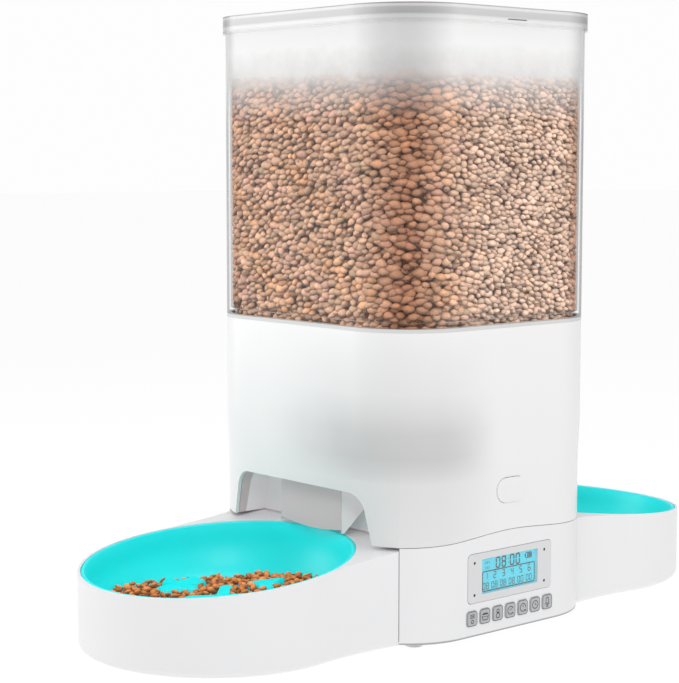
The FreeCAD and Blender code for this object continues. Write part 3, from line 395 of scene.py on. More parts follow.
KEY = plastic("grey_key_rubber", (0.50, 0.51, 0.52), 0.55, 0.015)
FOOT = plastic("foot_rubber", (0.05, 0.05, 0.05), 0.75, 0.01)
BOARD = plastic("green_board", (0.02, 0.16, 0.07), 0.4, 0.01)
STEEL = metal("steel", (0.62, 0.62, 0.63))
SCREEN = glowing_screen("backlit_display", (0.012, 0.56, 0.70), 0.36)
FOOD = food_material("dry_food")
# painted shade: dark brown stands in for the shaded depths of the food
SHADE_CORE = plastic("food_depth_painted_shade", (0.34, 0.17, 0.09), 0.9, 0.01, relief=0.0)
INK = ink("key_ink", (0.055, 0.055, 0.06))
KEY_LINE = ink("key_outline_ink", (0.12, 0.12, 0.125))
NOTCH = ink("notch_shadow", (0.17, 0.17, 0.175))
LCD_INK = plastic("display_ink", (0.001, 0.03, 0.05), 0.9, 0.001, relief=0.0)

# ---------------------------------------------------------------- CAD nodes as they are

DRESSED = {
    "housing": HOUSING_WHITE, "base_shell": BASE_WHITE, "socket_panel": BASE_WHITE, "tray_left": WHITE,
    "tray_right": WHITE, "release_button": WHITE, "base_plate": WHITE_MATTE, "battery_door": WHITE_MATTE,
    "hopper_tank": TANK, "lid": LID, "lid_seal": SEAL, "tank_gasket": GASKET,
    "hopper_funnel": WHITE_MATTE, "drum_casing": INNER, "metering_plate": INNER,
    "drum_deck": WHITE_MATTE, "rotor": INNER, "stirrer": INNER, "chute_left": CHUTE,
    "chute_right": CHUTE, "bowl_left": TURQUOISE, "bowl_right": TURQUOISE, "gearbox": DARK,
    "motor": STEEL, "motor_posts": WHITE_MATTE, "motor_screws": STEEL, "drive_hub": DARK,
    "base_screws": STEEL, "board_screws": STEEL, "battery_tray": WHITE_MATTE,
    "battery_cells": STEEL, "battery_contacts": STEEL, "display_bezel": BEZEL, "display_window": CLEAR,
    "lcd_module": SCREEN, "bezel_pins": DARK, "tact_switches": DARK, "button_board": BOARD,
    "main_board": BOARD, "board_components": DARK, "speaker": STEEL, "microphone": STEEL,
    "power_inlet": DARK, "base_feet": GASKET, "tray_feet_left": FOOT, "tray_feet_right": FOOT,
}
DRESSED.update({f"button_{key}": KEY for key in KEY_NAMES})


def dress(node, mat):
    """Gives a carried-over CAD node its finished material."""
    slots = NODES[node].data.materials
    slots.clear()
    slots.append(mat)


for node_name, mat in DRESSED.items():
    dress(node_name, mat)

# ---------------------------------------------------------------- mesh helpers


def clamped(value):
    """The value held between 0 and 1."""
    return max(0.0, min(1.0, value))


def mesh_object(name, verts, faces, mat, smooth=True):
    """Object from plain vertex and face lists."""
    mesh = bpy.data.meshes.new(name)
    mesh.from_pydata([tuple(v) for v in verts], [], [tuple(f) for f in faces])
    mesh.validate()
    mesh.update()
    mesh.materials.append(mat)
    mesh.polygons.foreach_set("use_smooth", [smooth] * len(mesh.polygons))
    obj = bpy.data.objects.new(name, mesh)
    bpy.context.scene.collection.objects.link(obj)
    return obj


def ring_faces(rows, count):
    """Quads that join rows of count points each, one row after the other round a closed form."""
    return [
        (a * count + i, a * count + (i + 1) % count, (a + 1) * count + (i + 1) % count, (a + 1) * count + i)
        for a in range(rows - 1) for i in range(count)
    ]


# ---------------------------------------------------------------- pieces of dry food

SHAPES = 5  # shapes of piece, each in a fine and a plainer mesh


def kibble_template(rng, level):
    """One piece of dry food: a rounded lentil one unit long, pointed at one end. (vertices, faces)."""
    bm = bmesh.new()
    bmesh.ops.create_icosphere(bm, subdivisions=level, radius=0.5)
    phase = [rng.uniform(0, 6.28) for _ in range(3)]
    wide, thick = rng.uniform(0.58, 0.72), 0.44
    verts = []
    for vert in bm.verts:
        x, y, z = vert.co
        taper = 1 - 0.55 * x - 0.5 * x * x
        lump = 1 + 0.04 * math.sin(7 * x + phase[0]) + 0.04 * math.sin(8 * y + phase[1])
        crown = taper + 0.05 * math.sin(6 * x + phase[2])
        verts.append((x * lump, y * wide * taper * lump, z * thick * crown))
    faces = [[v.index for v in face.verts] for face in bm.faces]
    bm.free()
    return np.array(verts), np.array(faces)


def piece_shade(offset, verts, outward):
    """Painted light of one piece: brighter where it looks up and out, darker round its outline."""
    lit = offset @ (outward / np.linalg.norm(outward) + np.array((0, 0, 1)))
    outline = 1 - (verts[:, 2] / np.abs(verts[:, 2]).max()) ** 2
    return (1 + 0.66 * lit / np.abs(lit).max()) * (1.12 - 0.50 * outline ** 3)


def heap_of_pieces(name, templates, places, mat):
    """One mesh of many pieces. Each place is (centre, axes as rows, colour, true for a plainer piece)."""
    all_verts, all_faces, colours = [], [], []
    start = 0
    for number, (centre, axes, colour, plainer) in enumerate(places):
        verts, faces = templates[number % SHAPES + (SHAPES if plainer else 0)]
        offset = verts @ axes
        # painted light: each piece's colour is made brighter or darker vertex by vertex, and stored in its
        # tone
        shade = piece_shade(offset, verts, axes[2])
        all_verts.append(offset + np.asarray(centre))
        all_faces.append(faces + start)
        colours.append(np.hstack([np.outer(shade, colour), np.ones((len(verts), 1))]))
        start += len(verts)
    obj = mesh_object(name, np.concatenate(all_verts).tolist(), np.concatenate(all_faces).tolist(), mat)
    layer = obj.data.color_attributes.new("tone", "FLOAT_COLOR", "POINT")
    layer.data.foreach_set("color", np.concatenate(colours).astype(np.float32).ravel())
    return obj


def spread_points(rng, width, height, gap_at, tries, squat=1.0):
    """Points in a width by height sheet, each at least gap_at(u, v) from the rest.

    The sheet wraps round in u. Distances along v count squat times, so that squat pieces stack closer.
    """
    cell = 0.0075
    columns = int(width / cell)
    grid = {}
    points = []

    def neighbours(column, row):
        """The points in a cell and in the eight round it."""
        for i in (-1, 0, 1):
            for j in (-1, 0, 1):
                yield from grid.get(((column + i) % columns, row + j), ())

    def too_close(u, v, other, gap):
        """True where u, v is nearer than the gap to another point."""
        du = abs(other[0] - u)
        du = min(du, width - du)
        dv = squat * (other[1] - v)
        return du * du + dv * dv < gap * gap

    for _ in range(tries):
        u, v = rng.uniform(0, width), rng.uniform(0, height)
        gap = gap_at(u, v)
        column, row = int(u / width * columns), int(v / cell)
        if not any(too_close(u, v, other, gap) for other in neighbours(column, row)):
            grid.setdefault((column, row), []).append((u, v))
            points.append((u, v))
    return points


def turn(rng, normal, tilt, swing):
    """Axes, as rows, of a piece lying against a face with this outward normal, swung and tilted a little."""
    normal = Vector(normal).normalized()
    away = Vector((rng.gauss(0, tilt), rng.gauss(0, tilt), rng.gauss(0, tilt)))
    flat = (normal + away).normalized()
    along = flat.cross(Vector((0, 0, 1)))
    if along.length < 0.1:
        along = Vector((1, 0, 0))
    along.normalize()
    along.rotate(Matrix.Rotation(rng.choice((0, math.pi)) + rng.gauss(0, swing), 3, flat))
    across = flat.cross(along)
    return np.array([list(along), list(across), list(flat)])


# ---------------------------------------------------------------- dry food in the hopper

TAN = np.array((0.64, 0.385, 0.245))
PALE = np.array((0.84, 0.63, 0.50))
ORANGE = np.array((0.70, 0.35, 0.165))
ROSE = np.array((0.67, 0.38, 0.28))
OLIVE = np.array((0.48, 0.34, 0.21))
RED_BROWN = np.array((0.38, 0.155, 0.075))
BOWL_BROWN = np.array((0.62, 0.20, 0.055))


def wall_point(u, wall):
    """Point and outward normal at length u round a rounded rectangle, from the front's -X end towards +X."""
    half_x, half_y, radius = wall
    corner_x, corner_y = half_x - radius, half_y - radius
    along_x, along_y, quarter = 2 * corner_x, 2 * corner_y, math.pi * radius / 2
    legs = [
        (along_x, (-corner_x, -half_y), (1, 0)), (quarter, (corner_x, -corner_y), -90),
        (along_y, (half_x, -corner_y), (0, 1)), (quarter, (corner_x, corner_y), 0),
        (along_x, (corner_x, half_y), (-1, 0)), (quarter, (-corner_x, corner_y), 90),
        (along_y, (-half_x, corner_y), (0, -1)), (quarter, (-corner_x, -corner_y), 180),
    ]
    for length, place, way in legs:
        if u <= length or way == 180:
            break
        u -= length
    if isinstance(way, tuple):
        return (place[0] + way[0] * u, place[1] + way[1] * u), (way[1], -way[0])
    angle = math.radians(way) + u / radius
    normal = (math.cos(angle), math.sin(angle))
    return (place[0] + radius * normal[0], place[1] + radius * normal[1]), normal


def girth(wall):
    """Length round a rounded rectangle."""
    half_x, half_y, radius = wall
    return 4 * (half_x + half_y - 2 * radius) + 2 * math.pi * radius


def corner_share(x, y):
    """1 at the middle of a tank corner, 0 on its flat sides."""
    start_x, start_y, reach_x, reach_y = 0.049, 0.054, 0.0243, 0.0283
    return clamped((abs(x) - start_x) / reach_x) * clamped((abs(y) - start_y) / reach_y)


def pale_share(x, y):
    """1 where the food shows finer and paler: front and back, away from the -X, -Y and +X, +Y corners."""
    side = 1.0 if abs(y) > FLAT_FACE_Y else 0.35
    far = x if y < 0 else -x
    return side * clamped((far + 0.055) / 0.04) * clamped((0.075 - far) / 0.02)


def food_colour(rng, x, y, z):
    """Colour of one piece in the hopper: mixed tans in soft patches, redder and darker round the corners."""
    corner, pale = 0.82 * corner_share(x, y), 0.62 * pale_share(x, y)
    patch = math.sin(x * 95 + z * 60) * math.cos(y * 80 - z * 115) + rng.gauss(0, 0.45)
    colour = TAN
    for tint, share in ((ORANGE, patch - 0.35), (ROSE, -0.3 - patch), (OLIVE, rng.gauss(-0.35, 0.4))):
        share = max(0.0, min(0.75, share))
        colour = colour * (1 - share) + tint * share
    colour = colour * (1 - pale) + PALE * pale
    colour = colour * (1 - corner) + RED_BROWN * corner
    return colour * rng.uniform(0.78, 1.18)


def wall_gap(u, _):
    """Space between pieces at length u round the tank's wall."""
    finer, coarser = 0.0009, 0.0006
    (x, y), _ = wall_point(u, TANK_WALL)
    return PIECE_GAP - finer * pale_share(x, y) + coarser * corner_share(x, y)


def wall_side(x, y):
    """The side of the tank that a wall point counts to, with the corners shared out."""
    if abs(y) > FLAT_FACE_Y or abs(x) < 0.07:
        return "front" if y < 0 else "back"
    return "left" if x < 0 else "right"


def wall_piece(rng, template, u, v, layer):
    """One piece against the wall at length u and height v, as (side of the tank, place in its heap)."""
    clearance, scatter, layer_step, layer_drop, tip_up = 0.0003, 0.0009, 0.0026, 0.0025, 0.85
    z = FOOD_BOTTOM + v
    wall = TANK_WALL if z > LEDGE else MOUTH_WALL
    (x, y), normal = wall_point(u / girth(TANK_WALL) * girth(wall), wall)
    size = wall_gap(u, v) * rng.choice((1.25, 1.4, 1.6, 1.8, 2.0))
    axes = turn(rng, (*normal, tip_up), 0.24, 0.3) * size
    reach = (template @ axes @ np.array((*normal, 0))).max()
    depth = reach + clearance + rng.uniform(0, scatter) + layer_step * layer
    centre = (x - normal[0] * depth, y - normal[1] * depth, min(z, FOOD_TOP - layer_drop * layer))
    # painted shade: pieces of the back layer and those on the -X and +X sides are darkened
    behind, flank = (0.85 if layer else 1.0), (0.93 if abs(x) > 0.083 else 1.0)
    colour = food_colour(rng, x, y, z) * behind * flank
    return wall_side(x, y), (centre, axes, colour, layer > 0)


def wall_food(rng, templates, mat):
    """The food seen through the tank's walls, two layers deep, one heap a side."""
    tries, squat = (60000), 1.65
    places = {"front": [], "right": [], "back": [], "left": []}
    for layer in (0, 1):
        for u, v in spread_points(rng, girth(TANK_WALL), FOOD_TOP - FOOD_BOTTOM, wall_gap, tries, squat):
            side, place = wall_piece(rng, templates[0][0], u, v, layer)
            places[side].append(place)
    return [heap_of_pieces(f"food_{side}", templates, heap, mat) for side, heap in places.items()]


def top_food(rng, templates, mat):
    """One layer of pieces on top of the food, gently uneven."""
    half_x, half_y, corner_reach, sunk, size = 0.085, 0.094, 0.0355, 0.003, 0.0050
    places = []
    tries = 16000
    for u, v in spread_points(rng, 2 * half_x, 2 * half_y, lambda u, v: PIECE_GAP, tries):
        x, y = u - half_x, v - half_y
        if math.hypot(max(0, abs(x) - CORNER_X), max(0, abs(y) - CORNER_Y)) > corner_reach:
            continue
        axes = turn(rng, (0, 0, 1), 0.5, 3.0) * size * rng.uniform(1.25, 1.7)
        swell = 0.0022 * math.sin(x * 55) * math.cos(y * 47)
        centre = (x, y, FOOD_TOP - sunk + swell)
        places.append((centre, axes, food_colour(rng, x, y, FOOD_TOP), False))
    return heap_of_pieces("food_top", templates, places, mat)


def food_core(mat):
    """Plain dark body behind the pieces, a painted shade that makes the gaps between them look deep."""
    inset, chamfer, count = 0.0075, 0.0030, 120
    bottom, top = FOOD_BOTTOM + 0.001, FOOD_TOP - 0.0065
    verts = []
    for shrink, z in ((inset + chamfer, bottom), (inset, bottom), (inset, top)):
        wall = [half - shrink for half in TANK_WALL]
        for number in range(count):
            (x, y), _ = wall_point(girth(wall) * number / count, wall)
            verts.append((x, y, z))
    rows = len(verts) // count
    faces = ring_faces(rows, count)
    faces.append(tuple(range(count))[::-1])
    faces.append(tuple(range((rows - 1) * count, rows * count)))
    return mesh_object("food_core", verts, faces, mat, smooth=False)


rng = random.Random(7)
TEMPLATES = [kibble_template(rng, level) for level in (2, 1) for _ in range(SHAPES)]
for heap in wall_food(rng, TEMPLATES, FOOD) + [top_food(rng, TEMPLATES, FOOD), food_core(SHADE_CORE)]:
    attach(heap, "tank")

# ---------------------------------------------------------------- bowls, their ridges and their food

BOWL_X, BOWL_SLOPE = 0.1476, 0.089
TRAY_EDGE_X, TRAY_EDGE_LEVEL = 0.0723, 0.0586
RIM_LEVEL = TRAY_EDGE_LEVEL + BOWL_SLOPE * (TRAY_EDGE_X - BOWL_X)
FLOOR, FLOOR_RADIUS, FLOOR_REACH, UNDERSIDE = -35.5, 54, 61, -37.5  # mm in the bowl, from its rim
RIDGED_LEVELS = (FLOOR - 0.5, -32)  # the ridges rise from the part of the inside between these
RIDGE_TOP, LOW_RIDGE_TOP = 11.2, 6.5


def bowl_matrix(side):
    """Place of a bowl's rim centre, its axis square to the tray's sloping top. side is -1 left, 1 right."""
    tilt = Matrix.Rotation(-math.atan(BOWL_SLOPE), 4, "Y")
    left = Matrix.Translation((-BOWL_X, 0, RIM_LEVEL)) @ tilt
    return left if side < 0 else Matrix.Rotation(math.pi, 4, "Z") @ left


def bar_distance(x, y, cx, cy, half_x, half_y, radius, turned=0.0):
    """Signed distance from a rounded bar on the bowl's floor, negative inside."""
    dx, dy = x - cx, y - cy
    c, s = math.cos(turned), math.sin(turned)
    dx, dy = abs(dx * c + dy * s), abs(dy * c - dx * s)
    qx, qy = dx - half_x + radius, dy - half_y + radius
    return math.hypot(max(qx, 0), max(qy, 0)) + min(max(qx, qy), 0) - radius


def fin_distance(x, y, side):
    """Signed distance from the three-cornered fin on the left or right."""
    base, length, half_wide = 26, 26, 16
    x = side * x - base
    return max(-x, (x * half_wide + abs(y) * length - length * half_wide) / math.hypot(length, half_wide))


def ridge_distance(x, y):
    """Distance from the nearest tall ridge: the middle cross, a fin each side and a cross at each end."""
    arms = [bar_distance(x, y, 0, 0, 25.5, 6.2, 6.0, turned) for turned in (math.pi / 4, -math.pi / 4)]
    fins = [fin_distance(x, y, side) for side in (-1, 1)]
    end_bars = ((17.5, 8.5, 5.0), (6.3, 17.5, 6.0))
    ends = [bar_distance(x, y, 0, cy, *bar) for cy in (-42, 42) for bar in end_bars]
    return min(arms + fins + ends)


def low_ridge_distance(x, y):
    """Distance from the nearest of the four low bars near the wall."""
    return min(bar_distance(x, y, cx, cy, 5.6, 14, 5.2) for cx in (-34, 34) for cy in (-35, 34))


def ridge_height(x, y):
    """Height of the slow-feeding ridges over the bowl's floor."""
    flank_start, flank_width = 1.6, 4.4
    heights = []
    for distance, top in ((ridge_distance(x, y), RIDGE_TOP), (low_ridge_distance(x, y), LOW_RIDGE_TOP)):
        rise = clamped((flank_start - distance) / flank_width)
        heights.append(top * rise * rise * (3 - 2 * rise))
    return max(heights) * clamped((FLOOR_REACH - math.hypot(x, y)) / 5)


def smooth_line(points, steps):
    """Catmull-Rom line through 2-D points."""
    points = [points[0]] + list(points) + [points[-1]]
    line = []
    for a, b, c, d in zip(points, points[1:], points[2:], points[3:]):
        for step in range(steps):
            t = step / steps
            line.append(tuple(
                0.5 * (2 * b[k] + (c[k] - a[k]) * t + (2 * a[k] - 5 * b[k] + 4 * c[k] - d[k]) * t * t
                       + (3 * b[k] - a[k] - 3 * c[k] + d[k]) * t ** 3) for k in (0, 1)
            ))
    line.append(points[-1])
    return line


def bowl_profile():
    """(radius, level) points from the middle of the underside, over the rim, to the middle of the floor."""
    under = [(0.6, UNDERSIDE), (30, UNDERSIDE), (56, UNDERSIDE + 0.1)]
    outside = [(81.3, -1.4), (81.1, -2.0), (79.6, -2.2), (77.6, -16), (70.7, -28.8), (59.3, -36.6)]
    rim = [(81.25, -0.8), (80.9, -0.35), (80.3, -0.2), (79.7, -0.3)]
    inside = [(79.3, -0.6), (78.2, -4.5), (75.6, -15.5), (68.8, -27.2), (60.5, -33.6), (FLOOR_RADIUS, FLOOR)]
    steps = 52
    floor = [(FLOOR_RADIUS * (1 - step / steps), FLOOR) for step in range(1, steps)]
    return under + smooth_line(outside, 4)[::-1] + rim + smooth_line(inside, 5) + floor


def make_bowl(name, side, mat):
    """Bowl of revolution with a rolled rim, and the ridges rising softly from its floor."""
    turns = 192
    profile = bowl_profile()
    verts = []
    for radius, level in profile:
        for number in range(turns):
            angle = 2 * math.pi * number / turns
            x, y = radius * math.cos(angle), radius * math.sin(angle)
            on_floor = RIDGED_LEVELS[0] < level < RIDGED_LEVELS[1] and radius < FLOOR_REACH
            lift = ridge_height(x, y) if on_floor else 0.0
            verts.append((x * MM, y * MM, (level + lift) * MM))
    last_row = (len(profile) - 1) * turns
    top, low = len(verts), len(verts) + 1
    verts += [(0, 0, (FLOOR + ridge_height(0, 0)) * MM), (0, 0, UNDERSIDE * MM)]
    faces = ring_faces(len(profile), turns)
    faces += [(last_row + i, last_row + (i + 1) % turns, top) for i in range(turns)]
    faces += [(i, low, (i + 1) % turns) for i in range(turns)]
    obj = mesh_object(name, verts, faces, mat)
    obj.data.transform(bowl_matrix(side))
    return obj


def bowl_food(name, side, rng, templates, mat):
    """Heap of food round one bowl's ridges: lower at the back by the tower, higher at the back outside."""
    gap, half, middle_level, dip, rise, layer_step = 4.3, 0.072, -25.3, 5, 4, 2.5
    wall_levels, wall_radii, wall_clearance = (-33.6, -27.2, -15.5), (60.5, 68.8, 75.6), 2.3
    tries = 14000
    places = []
    for layer in (0, 1, 2):
        for u, v in spread_points(rng, 2 * half, 2 * half, lambda u, v: gap * MM, tries):
            x, y = (u - half) / MM, (v - half) / MM
            inward = clamped((x * 0.6 - y * side * 0.8 - 20) / 45)
            outward = clamped((-x * 0.757 - y * side * 0.654 - 36) / 25)
            z = middle_level - dip * inward + rise * outward - layer_step * layer + rng.uniform(-0.7, 0.8)
            reach = np.interp(z, wall_levels, wall_radii) - wall_clearance
            sunk = z < FLOOR + 1.2 or ridge_height(x, y) > z - FLOOR - 0.6
            if sunk or math.hypot(x, y) > reach:
                continue
            axes = turn(rng, (0, 0, 1), 0.5, 3.0) * gap * rng.uniform(1.25, 1.6) * MM
            colour = BOWL_BROWN * rng.uniform(0.6, 1.25)
            places.append(((x * MM, y * MM, z * MM), axes, colour, layer > 0))
    heap = heap_of_pieces(name, templates, places, mat)
    heap.data.transform(bowl_matrix(side))
    return heap


for side, word in ((-1, "left"), (1, "right")):
    bowl = make_bowl(f"bowl_{word}_smooth", side, TURQUOISE)
    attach(bowl, f"bowl_{word}")
    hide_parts(f"bowl_{word}")
    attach(bowl_food(f"food_bowl_{word}", side, rng, TEMPLATES, FOOD), f"bowl_{word}")

# ---------------------------------------------------------------- marks on the lid, the display and the keys

SCREEN_LEFT, SCREEN_BOTTOM, SCREEN_FACE = -24.35, 27.3, -95.78
KEY_PITCH, KEY_LEVEL, KEY_FACE = 10.9, 13.7, -97.73
NOTCH_LEVEL, NOTCH_FACE = 367.7, -98.75
SEGMENTS = {
    "0": "abcdef", "1": "bc", "2": "abged", "3": "abgcd", "4": "fgbc", "5": "afgcd", "6": "afgedc",
    "8": "abcdefg",
}


def block(x0, y0, x1, y1):
    """Rectangle between two opposite corners."""
    return [(x0, y0), (x1, y0), (x1, y1), (x0, y1)]


def stroke(a, b, width):
    """Bar from a to b with pointed ends, as one flat polygon."""
    (x0, y0), (x1, y1) = a, b
    length = math.hypot(x1 - x0, y1 - y0)
    ux, uy = (x1 - x0) / length, (y1 - y0) / length
    nx, ny = -uy * width / 2, ux * width / 2
    tip = width / 2
    return [
        (x0, y0), (x0 + ux * tip + nx, y0 + uy * tip + ny), (x1 - ux * tip + nx, y1 - uy * tip + ny),
        (x1, y1), (x1 - ux * tip - nx, y1 - uy * tip - ny), (x0 + ux * tip - nx, y0 + uy * tip - ny),
    ]


def strokes(*bars):
    """Strokes from (x, y, x, y, width) each."""
    return [stroke((x0, y0), (x1, y1), width) for x0, y0, x1, y1, width in bars]


def digit(char, x, y, width, height, weight):
    """Seven-segment figure with its lower left corner at x, y."""
    right, mid, top = x + width, y + height / 2, y + height
    ends = {
        "a": ((x, top), (right, top)), "g": ((x, mid), (right, mid)), "d": ((x, y), (right, y)),
        "f": ((x, mid), (x, top)), "e": ((x, y), (x, mid)),
        "b": ((right, mid), (right, top)), "c": ((right, y), (right, mid)),
    }
    return [stroke(*ends[s], weight) for s in SEGMENTS[char]]


def arc_band(cx, cy, radius, width, start=0, end=360, steps=28):
    """Ring or part of one, as flat quads."""
    inner, outer = radius - width / 2, radius + width / 2
    angles = [math.radians(start + (end - start) * step / steps) for step in range(steps + 1)]
    quads = []
    for a0, a1 in zip(angles, angles[1:]):
        corners = ((inner, a0), (outer, a0), (outer, a1), (inner, a1))
        quads.append([(cx + r * math.cos(a), cy + r * math.sin(a)) for r, a in corners])
    return quads


def box_outline(x0, y0, x1, y1, radius, width):
    """Outline of a round-cornered box."""
    half = width / 2
    bars = [block(x0 + radius, y - half, x1 - radius, y + half) for y in (y0, y1)]
    bars += [block(x - half, y0 + radius, x + half, y1 - radius) for x in (x0, x1)]
    left, right, low, high = x0 + radius, x1 - radius, y0 + radius, y1 - radius
    for cx, cy, start in ((right, high, 0), (left, high, 90), (left, low, 180), (right, low, 270)):
        bars += arc_band(cx, cy, radius, width, start, start + 90, 8)
    return bars


def dashes(x, y, count):
    """Row of short upright marks, in place of lettering."""
    pitch, height = 1.4, 1.6
    return [stroke((x + pitch * n, y), (x + pitch * n, y + height), 0.5) for n in range(count)]


def clock_figures():
    """Time of day with its colon, and two rows of dashes to its left."""
    figures = []
    for char, x in zip("0800", (13.6, 18.6, 25.8, 30.8)):
        figures += digit(char, x, 14.0, 3.0, 6.1, 0.95)
    colon = [block(23.6, y, 24.2, y + 0.6) for y in (15.6, 17.9)]
    return figures + colon + dashes(4.6, 17.3, 3) + dashes(4.6, 14.2, 3)


def battery_sign():
    """Battery outline with its tip and three bars."""
    tip = block(38.4, 17.1, 39.0, 18.5)
    bars = [block(40.6 + 1.2 * n, 16.6, 41.6 + 1.2 * n, 19.0) for n in range(3)]
    return box_outline(39.2, 16.2, 44.4, 19.4, 0.5, 0.5) + [tip] + bars


def meal_table():
    """Boxed table of six meals, each meal's number over its portion."""
    first, pitch, figure_pitch = 4.0, 7.5, 2.9
    figures = box_outline(1.95, 0.95, 47.0, 12.9, 1.0, 0.7)
    for column, portion in enumerate(("08", "08", "08", "08", "00", "00")):
        x = first + pitch * column
        figures += digit(str(column + 1), x, 8.0, 1.9, 3.9, 0.55)
        for place, char in enumerate(portion):
            figures += digit(char, x - 1.7 + figure_pitch * place, 2.1, 1.8, 3.7, 0.46)
    return figures


def flat_marks(name, polygons, origin, level, mat):
    """Flat figures on a plane that faces -Y at y = level. The polygons are in mm from origin (x, z)."""
    verts, faces = [], []
    for polygon in polygons:
        faces.append(tuple(range(len(verts), len(verts) + len(polygon))))
        verts += [((origin[0] + x) * MM, level * MM, (origin[1] + y) * MM) for x, y in polygon]
    return mesh_object(name, verts, faces, mat, smooth=False)


# Signs on the keys, in mm from each key's middle.
KEY_SIGNS = {
    "menu": strokes(*((-2.0, y, 2.0, y, 0.45) for y in (2.4, 1.5, 0.6))) + arc_band(0, -1.7, 1.0, 0.5),
    "portion": [[(-2.9, 0.9), (-1.6, 2.0), (1.6, 2.0), (2.9, 0.9)]] + strokes(
        (-2.7, 0.5, -1.9, -2.3, 0.5), (-1.9, -2.2, 1.9, -2.2, 0.5),
        (1.9, -2.3, 2.7, 0.5, 0.5), (-2.5, -0.3, 2.5, -0.3, 0.35)),
    "lock": arc_band(0, 1.5, 1.0, 0.5) + arc_band(0, -1.4, 1.5, 0.55) + strokes((-1.0, 0.4, 1.0, 0.4, 0.5)),
    "clock_back": arc_band(0, 0, 2.4, 0.5, 20, 320) + strokes(
        (0, 0, 0.9, 1.2, 0.4), (0, 0, -0.9, 0.5, 0.4), (0.9, -2.0, 2.7, -2.0, 0.6)),
    "clock_set": arc_band(0, 0, 2.4, 0.5, -10, 290) + strokes(
        (-0.8, 0.9, 0.8, 0.9, 0.4), (0, 0, 0, 0.9, 0.4), (0.9, -2.0, 3.0, -2.0, 0.9)),
    "clock": arc_band(0, 0, 2.4, 0.5) + strokes((0, -0.1, 0, 1.44, 0.42), (-0.1, 0, 1.32, -0.35, 0.42)),
    "record": arc_band(0, 1.7, 1.1, 0.5, 0, 180) + arc_band(0, 0.1, 1.1, 0.5, 180, 360)
    + strokes((-1.1, 0.1, -1.1, 1.7, 0.5), (1.1, 0.1, 1.1, 1.7, 0.5)) + arc_band(0, 0.1, 2.0, 0.45, 200, 340)
    + strokes((0, -1.9, 0, -3.0, 0.5), (-1.0, -3.0, 1.0, -3.0, 0.5)),
}


def lid_notch():
    """Painted shadow of a short slot across the front of the lid's skirt, as a flat dark mark."""
    return flat_marks("lid_notch", [block(-7.9, -0.35, 7.9, 0.35)], (0, NOTCH_LEVEL), NOTCH_FACE, NOTCH)


def display_marks():
    """Everything that the display shows."""
    figures = clock_figures() + battery_sign() + meal_table()
    return flat_marks("display_figures", figures, (SCREEN_LEFT, SCREEN_BOTTOM), SCREEN_FACE, LCD_INK)


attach(lid_notch(), "lid")
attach(display_marks(), "base")
KEY_RIM = box_outline(-3.95, -4.25, 3.95, 4.25, 1.7, 0.4)
MIDDLE_KEY = len(KEY_NAMES) // 2
for number, key in enumerate(KEY_NAMES):
    middle = ((number - MIDDLE_KEY) * KEY_PITCH, KEY_LEVEL)
    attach(flat_marks(f"sign_{key}", KEY_SIGNS[key], middle, KEY_FACE, INK), f"key_{key}")
    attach(flat_marks(f"rim_{key}", KEY_RIM, middle, KEY_FACE, KEY_LINE), f"key_{key}")

# ---------------------------------------------------------------- camera, floor and light


def add_camera():
    """Camera at the photograph's viewing angle."""
    data = bpy.data.cameras.new("camera")
    data.lens, data.sensor_width = 95.64, 36.0
    camera = bpy.data.objects.new("camera", data)
    bpy.context.scene.collection.objects.link(camera)
    camera.location = (-0.784783, -0.847031, 0.286897)
    yaw, fall = math.radians(49.171), math.radians(5.772)
    look = Vector((math.cos(yaw) * math.cos(fall), math.sin(yaw) * math.cos(fall), -math.sin(fall)))
    camera.rotation_mode = "QUATERNION"
    camera.rotation_quaternion = look.to_track_quat("-Z", "Y")
    bpy.context.scene.camera = camera


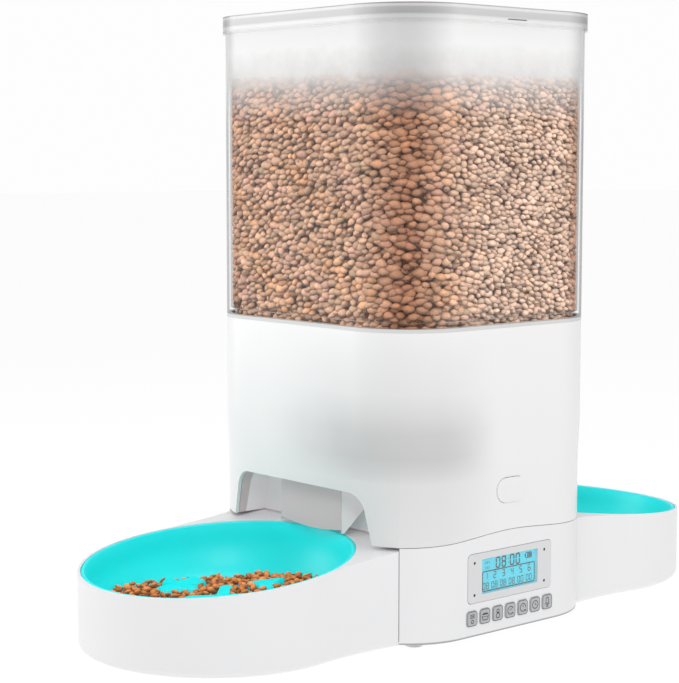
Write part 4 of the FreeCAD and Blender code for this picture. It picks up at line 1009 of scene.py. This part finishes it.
def add_area(name, place, aim, width, power):
    """Soft square light that the camera doesn't see."""
    data = bpy.data.lights.new(name, "AREA")
    data.shape, data.size, data.energy = "SQUARE", width, power
    lamp = bpy.data.objects.new(name, data)
    bpy.context.scene.collection.objects.link(lamp)
    lamp.location = place
    lamp.rotation_mode = "QUATERNION"
    lamp.rotation_quaternion = (Vector(aim) - Vector(place)).to_track_quat("-Z", "Y")
    lamp.visible_camera = False


def add_floor():
    """Plain bright floor, far wider than the object."""
    mat, _, _, shader = material("pale_floor")
    shader.inputs["Base Color"].default_value = (0.1, 0.1, 0.1, 1)
    shader.inputs["Roughness"].default_value = 0.9
    shader.inputs["Specular IOR Level"].default_value = 0.0
    glow(shader, (1, 1, 1), 0.93)
    reach = 12
    corners = [(-reach, -reach, 0), (reach, -reach, 0), (reach, reach, 0), (-reach, reach, 0)]
    floor = mesh_object("floor", corners, [(0, 1, 2, 3)], mat, smooth=False)


def add_world():
    """White behind the object, a dark ring round that so that edges show, and a soft grey elsewhere."""
    strength_over_facing = [(0.20, 0.47), (0.50, 0.16), (0.89, 0.16), (0.945, 0.985)]
    world = bpy.data.worlds.new("studio")
    world.use_nodes = True
    nodes, links = world.node_tree.nodes, world.node_tree.links
    place = nodes.new("ShaderNodeTexCoord")
    facing = nodes.new("ShaderNodeVectorMath")
    facing.operation = "DOT_PRODUCT"
    facing.inputs[1].default_value = (0.66, 0.75, 0.0)
    links.new(place.outputs["Generated"], facing.inputs[0])
    background = nodes["Background"]
    background.inputs["Color"].default_value = (1, 1, 1, 1)
    strength = stops(nodes, links, facing.outputs["Value"], -1, 1, strength_over_facing)
    links.new(strength, background.inputs["Strength"])
    bpy.context.scene.world = world


add_camera()
add_floor()
add_world()
add_area("left_softbox", (-0.533, 0.761, 0.32), (0, 0, 0.14), 0.5, 2.4)
add_area("middle_softbox", (-0.72, -0.55, 0.80), (0, 0, 0.2), 0.4, 2.7)
add_area("right_softbox", (0.533, -0.761, 0.32), (0, 0, 0.14), 0.5, 1.1)
add_area("top_softbox", (0, 0, 1.3), (0, 0, 0.1), 0.7, 6.0)
bpy.context.scene.view_settings.view_transform = "Standard"
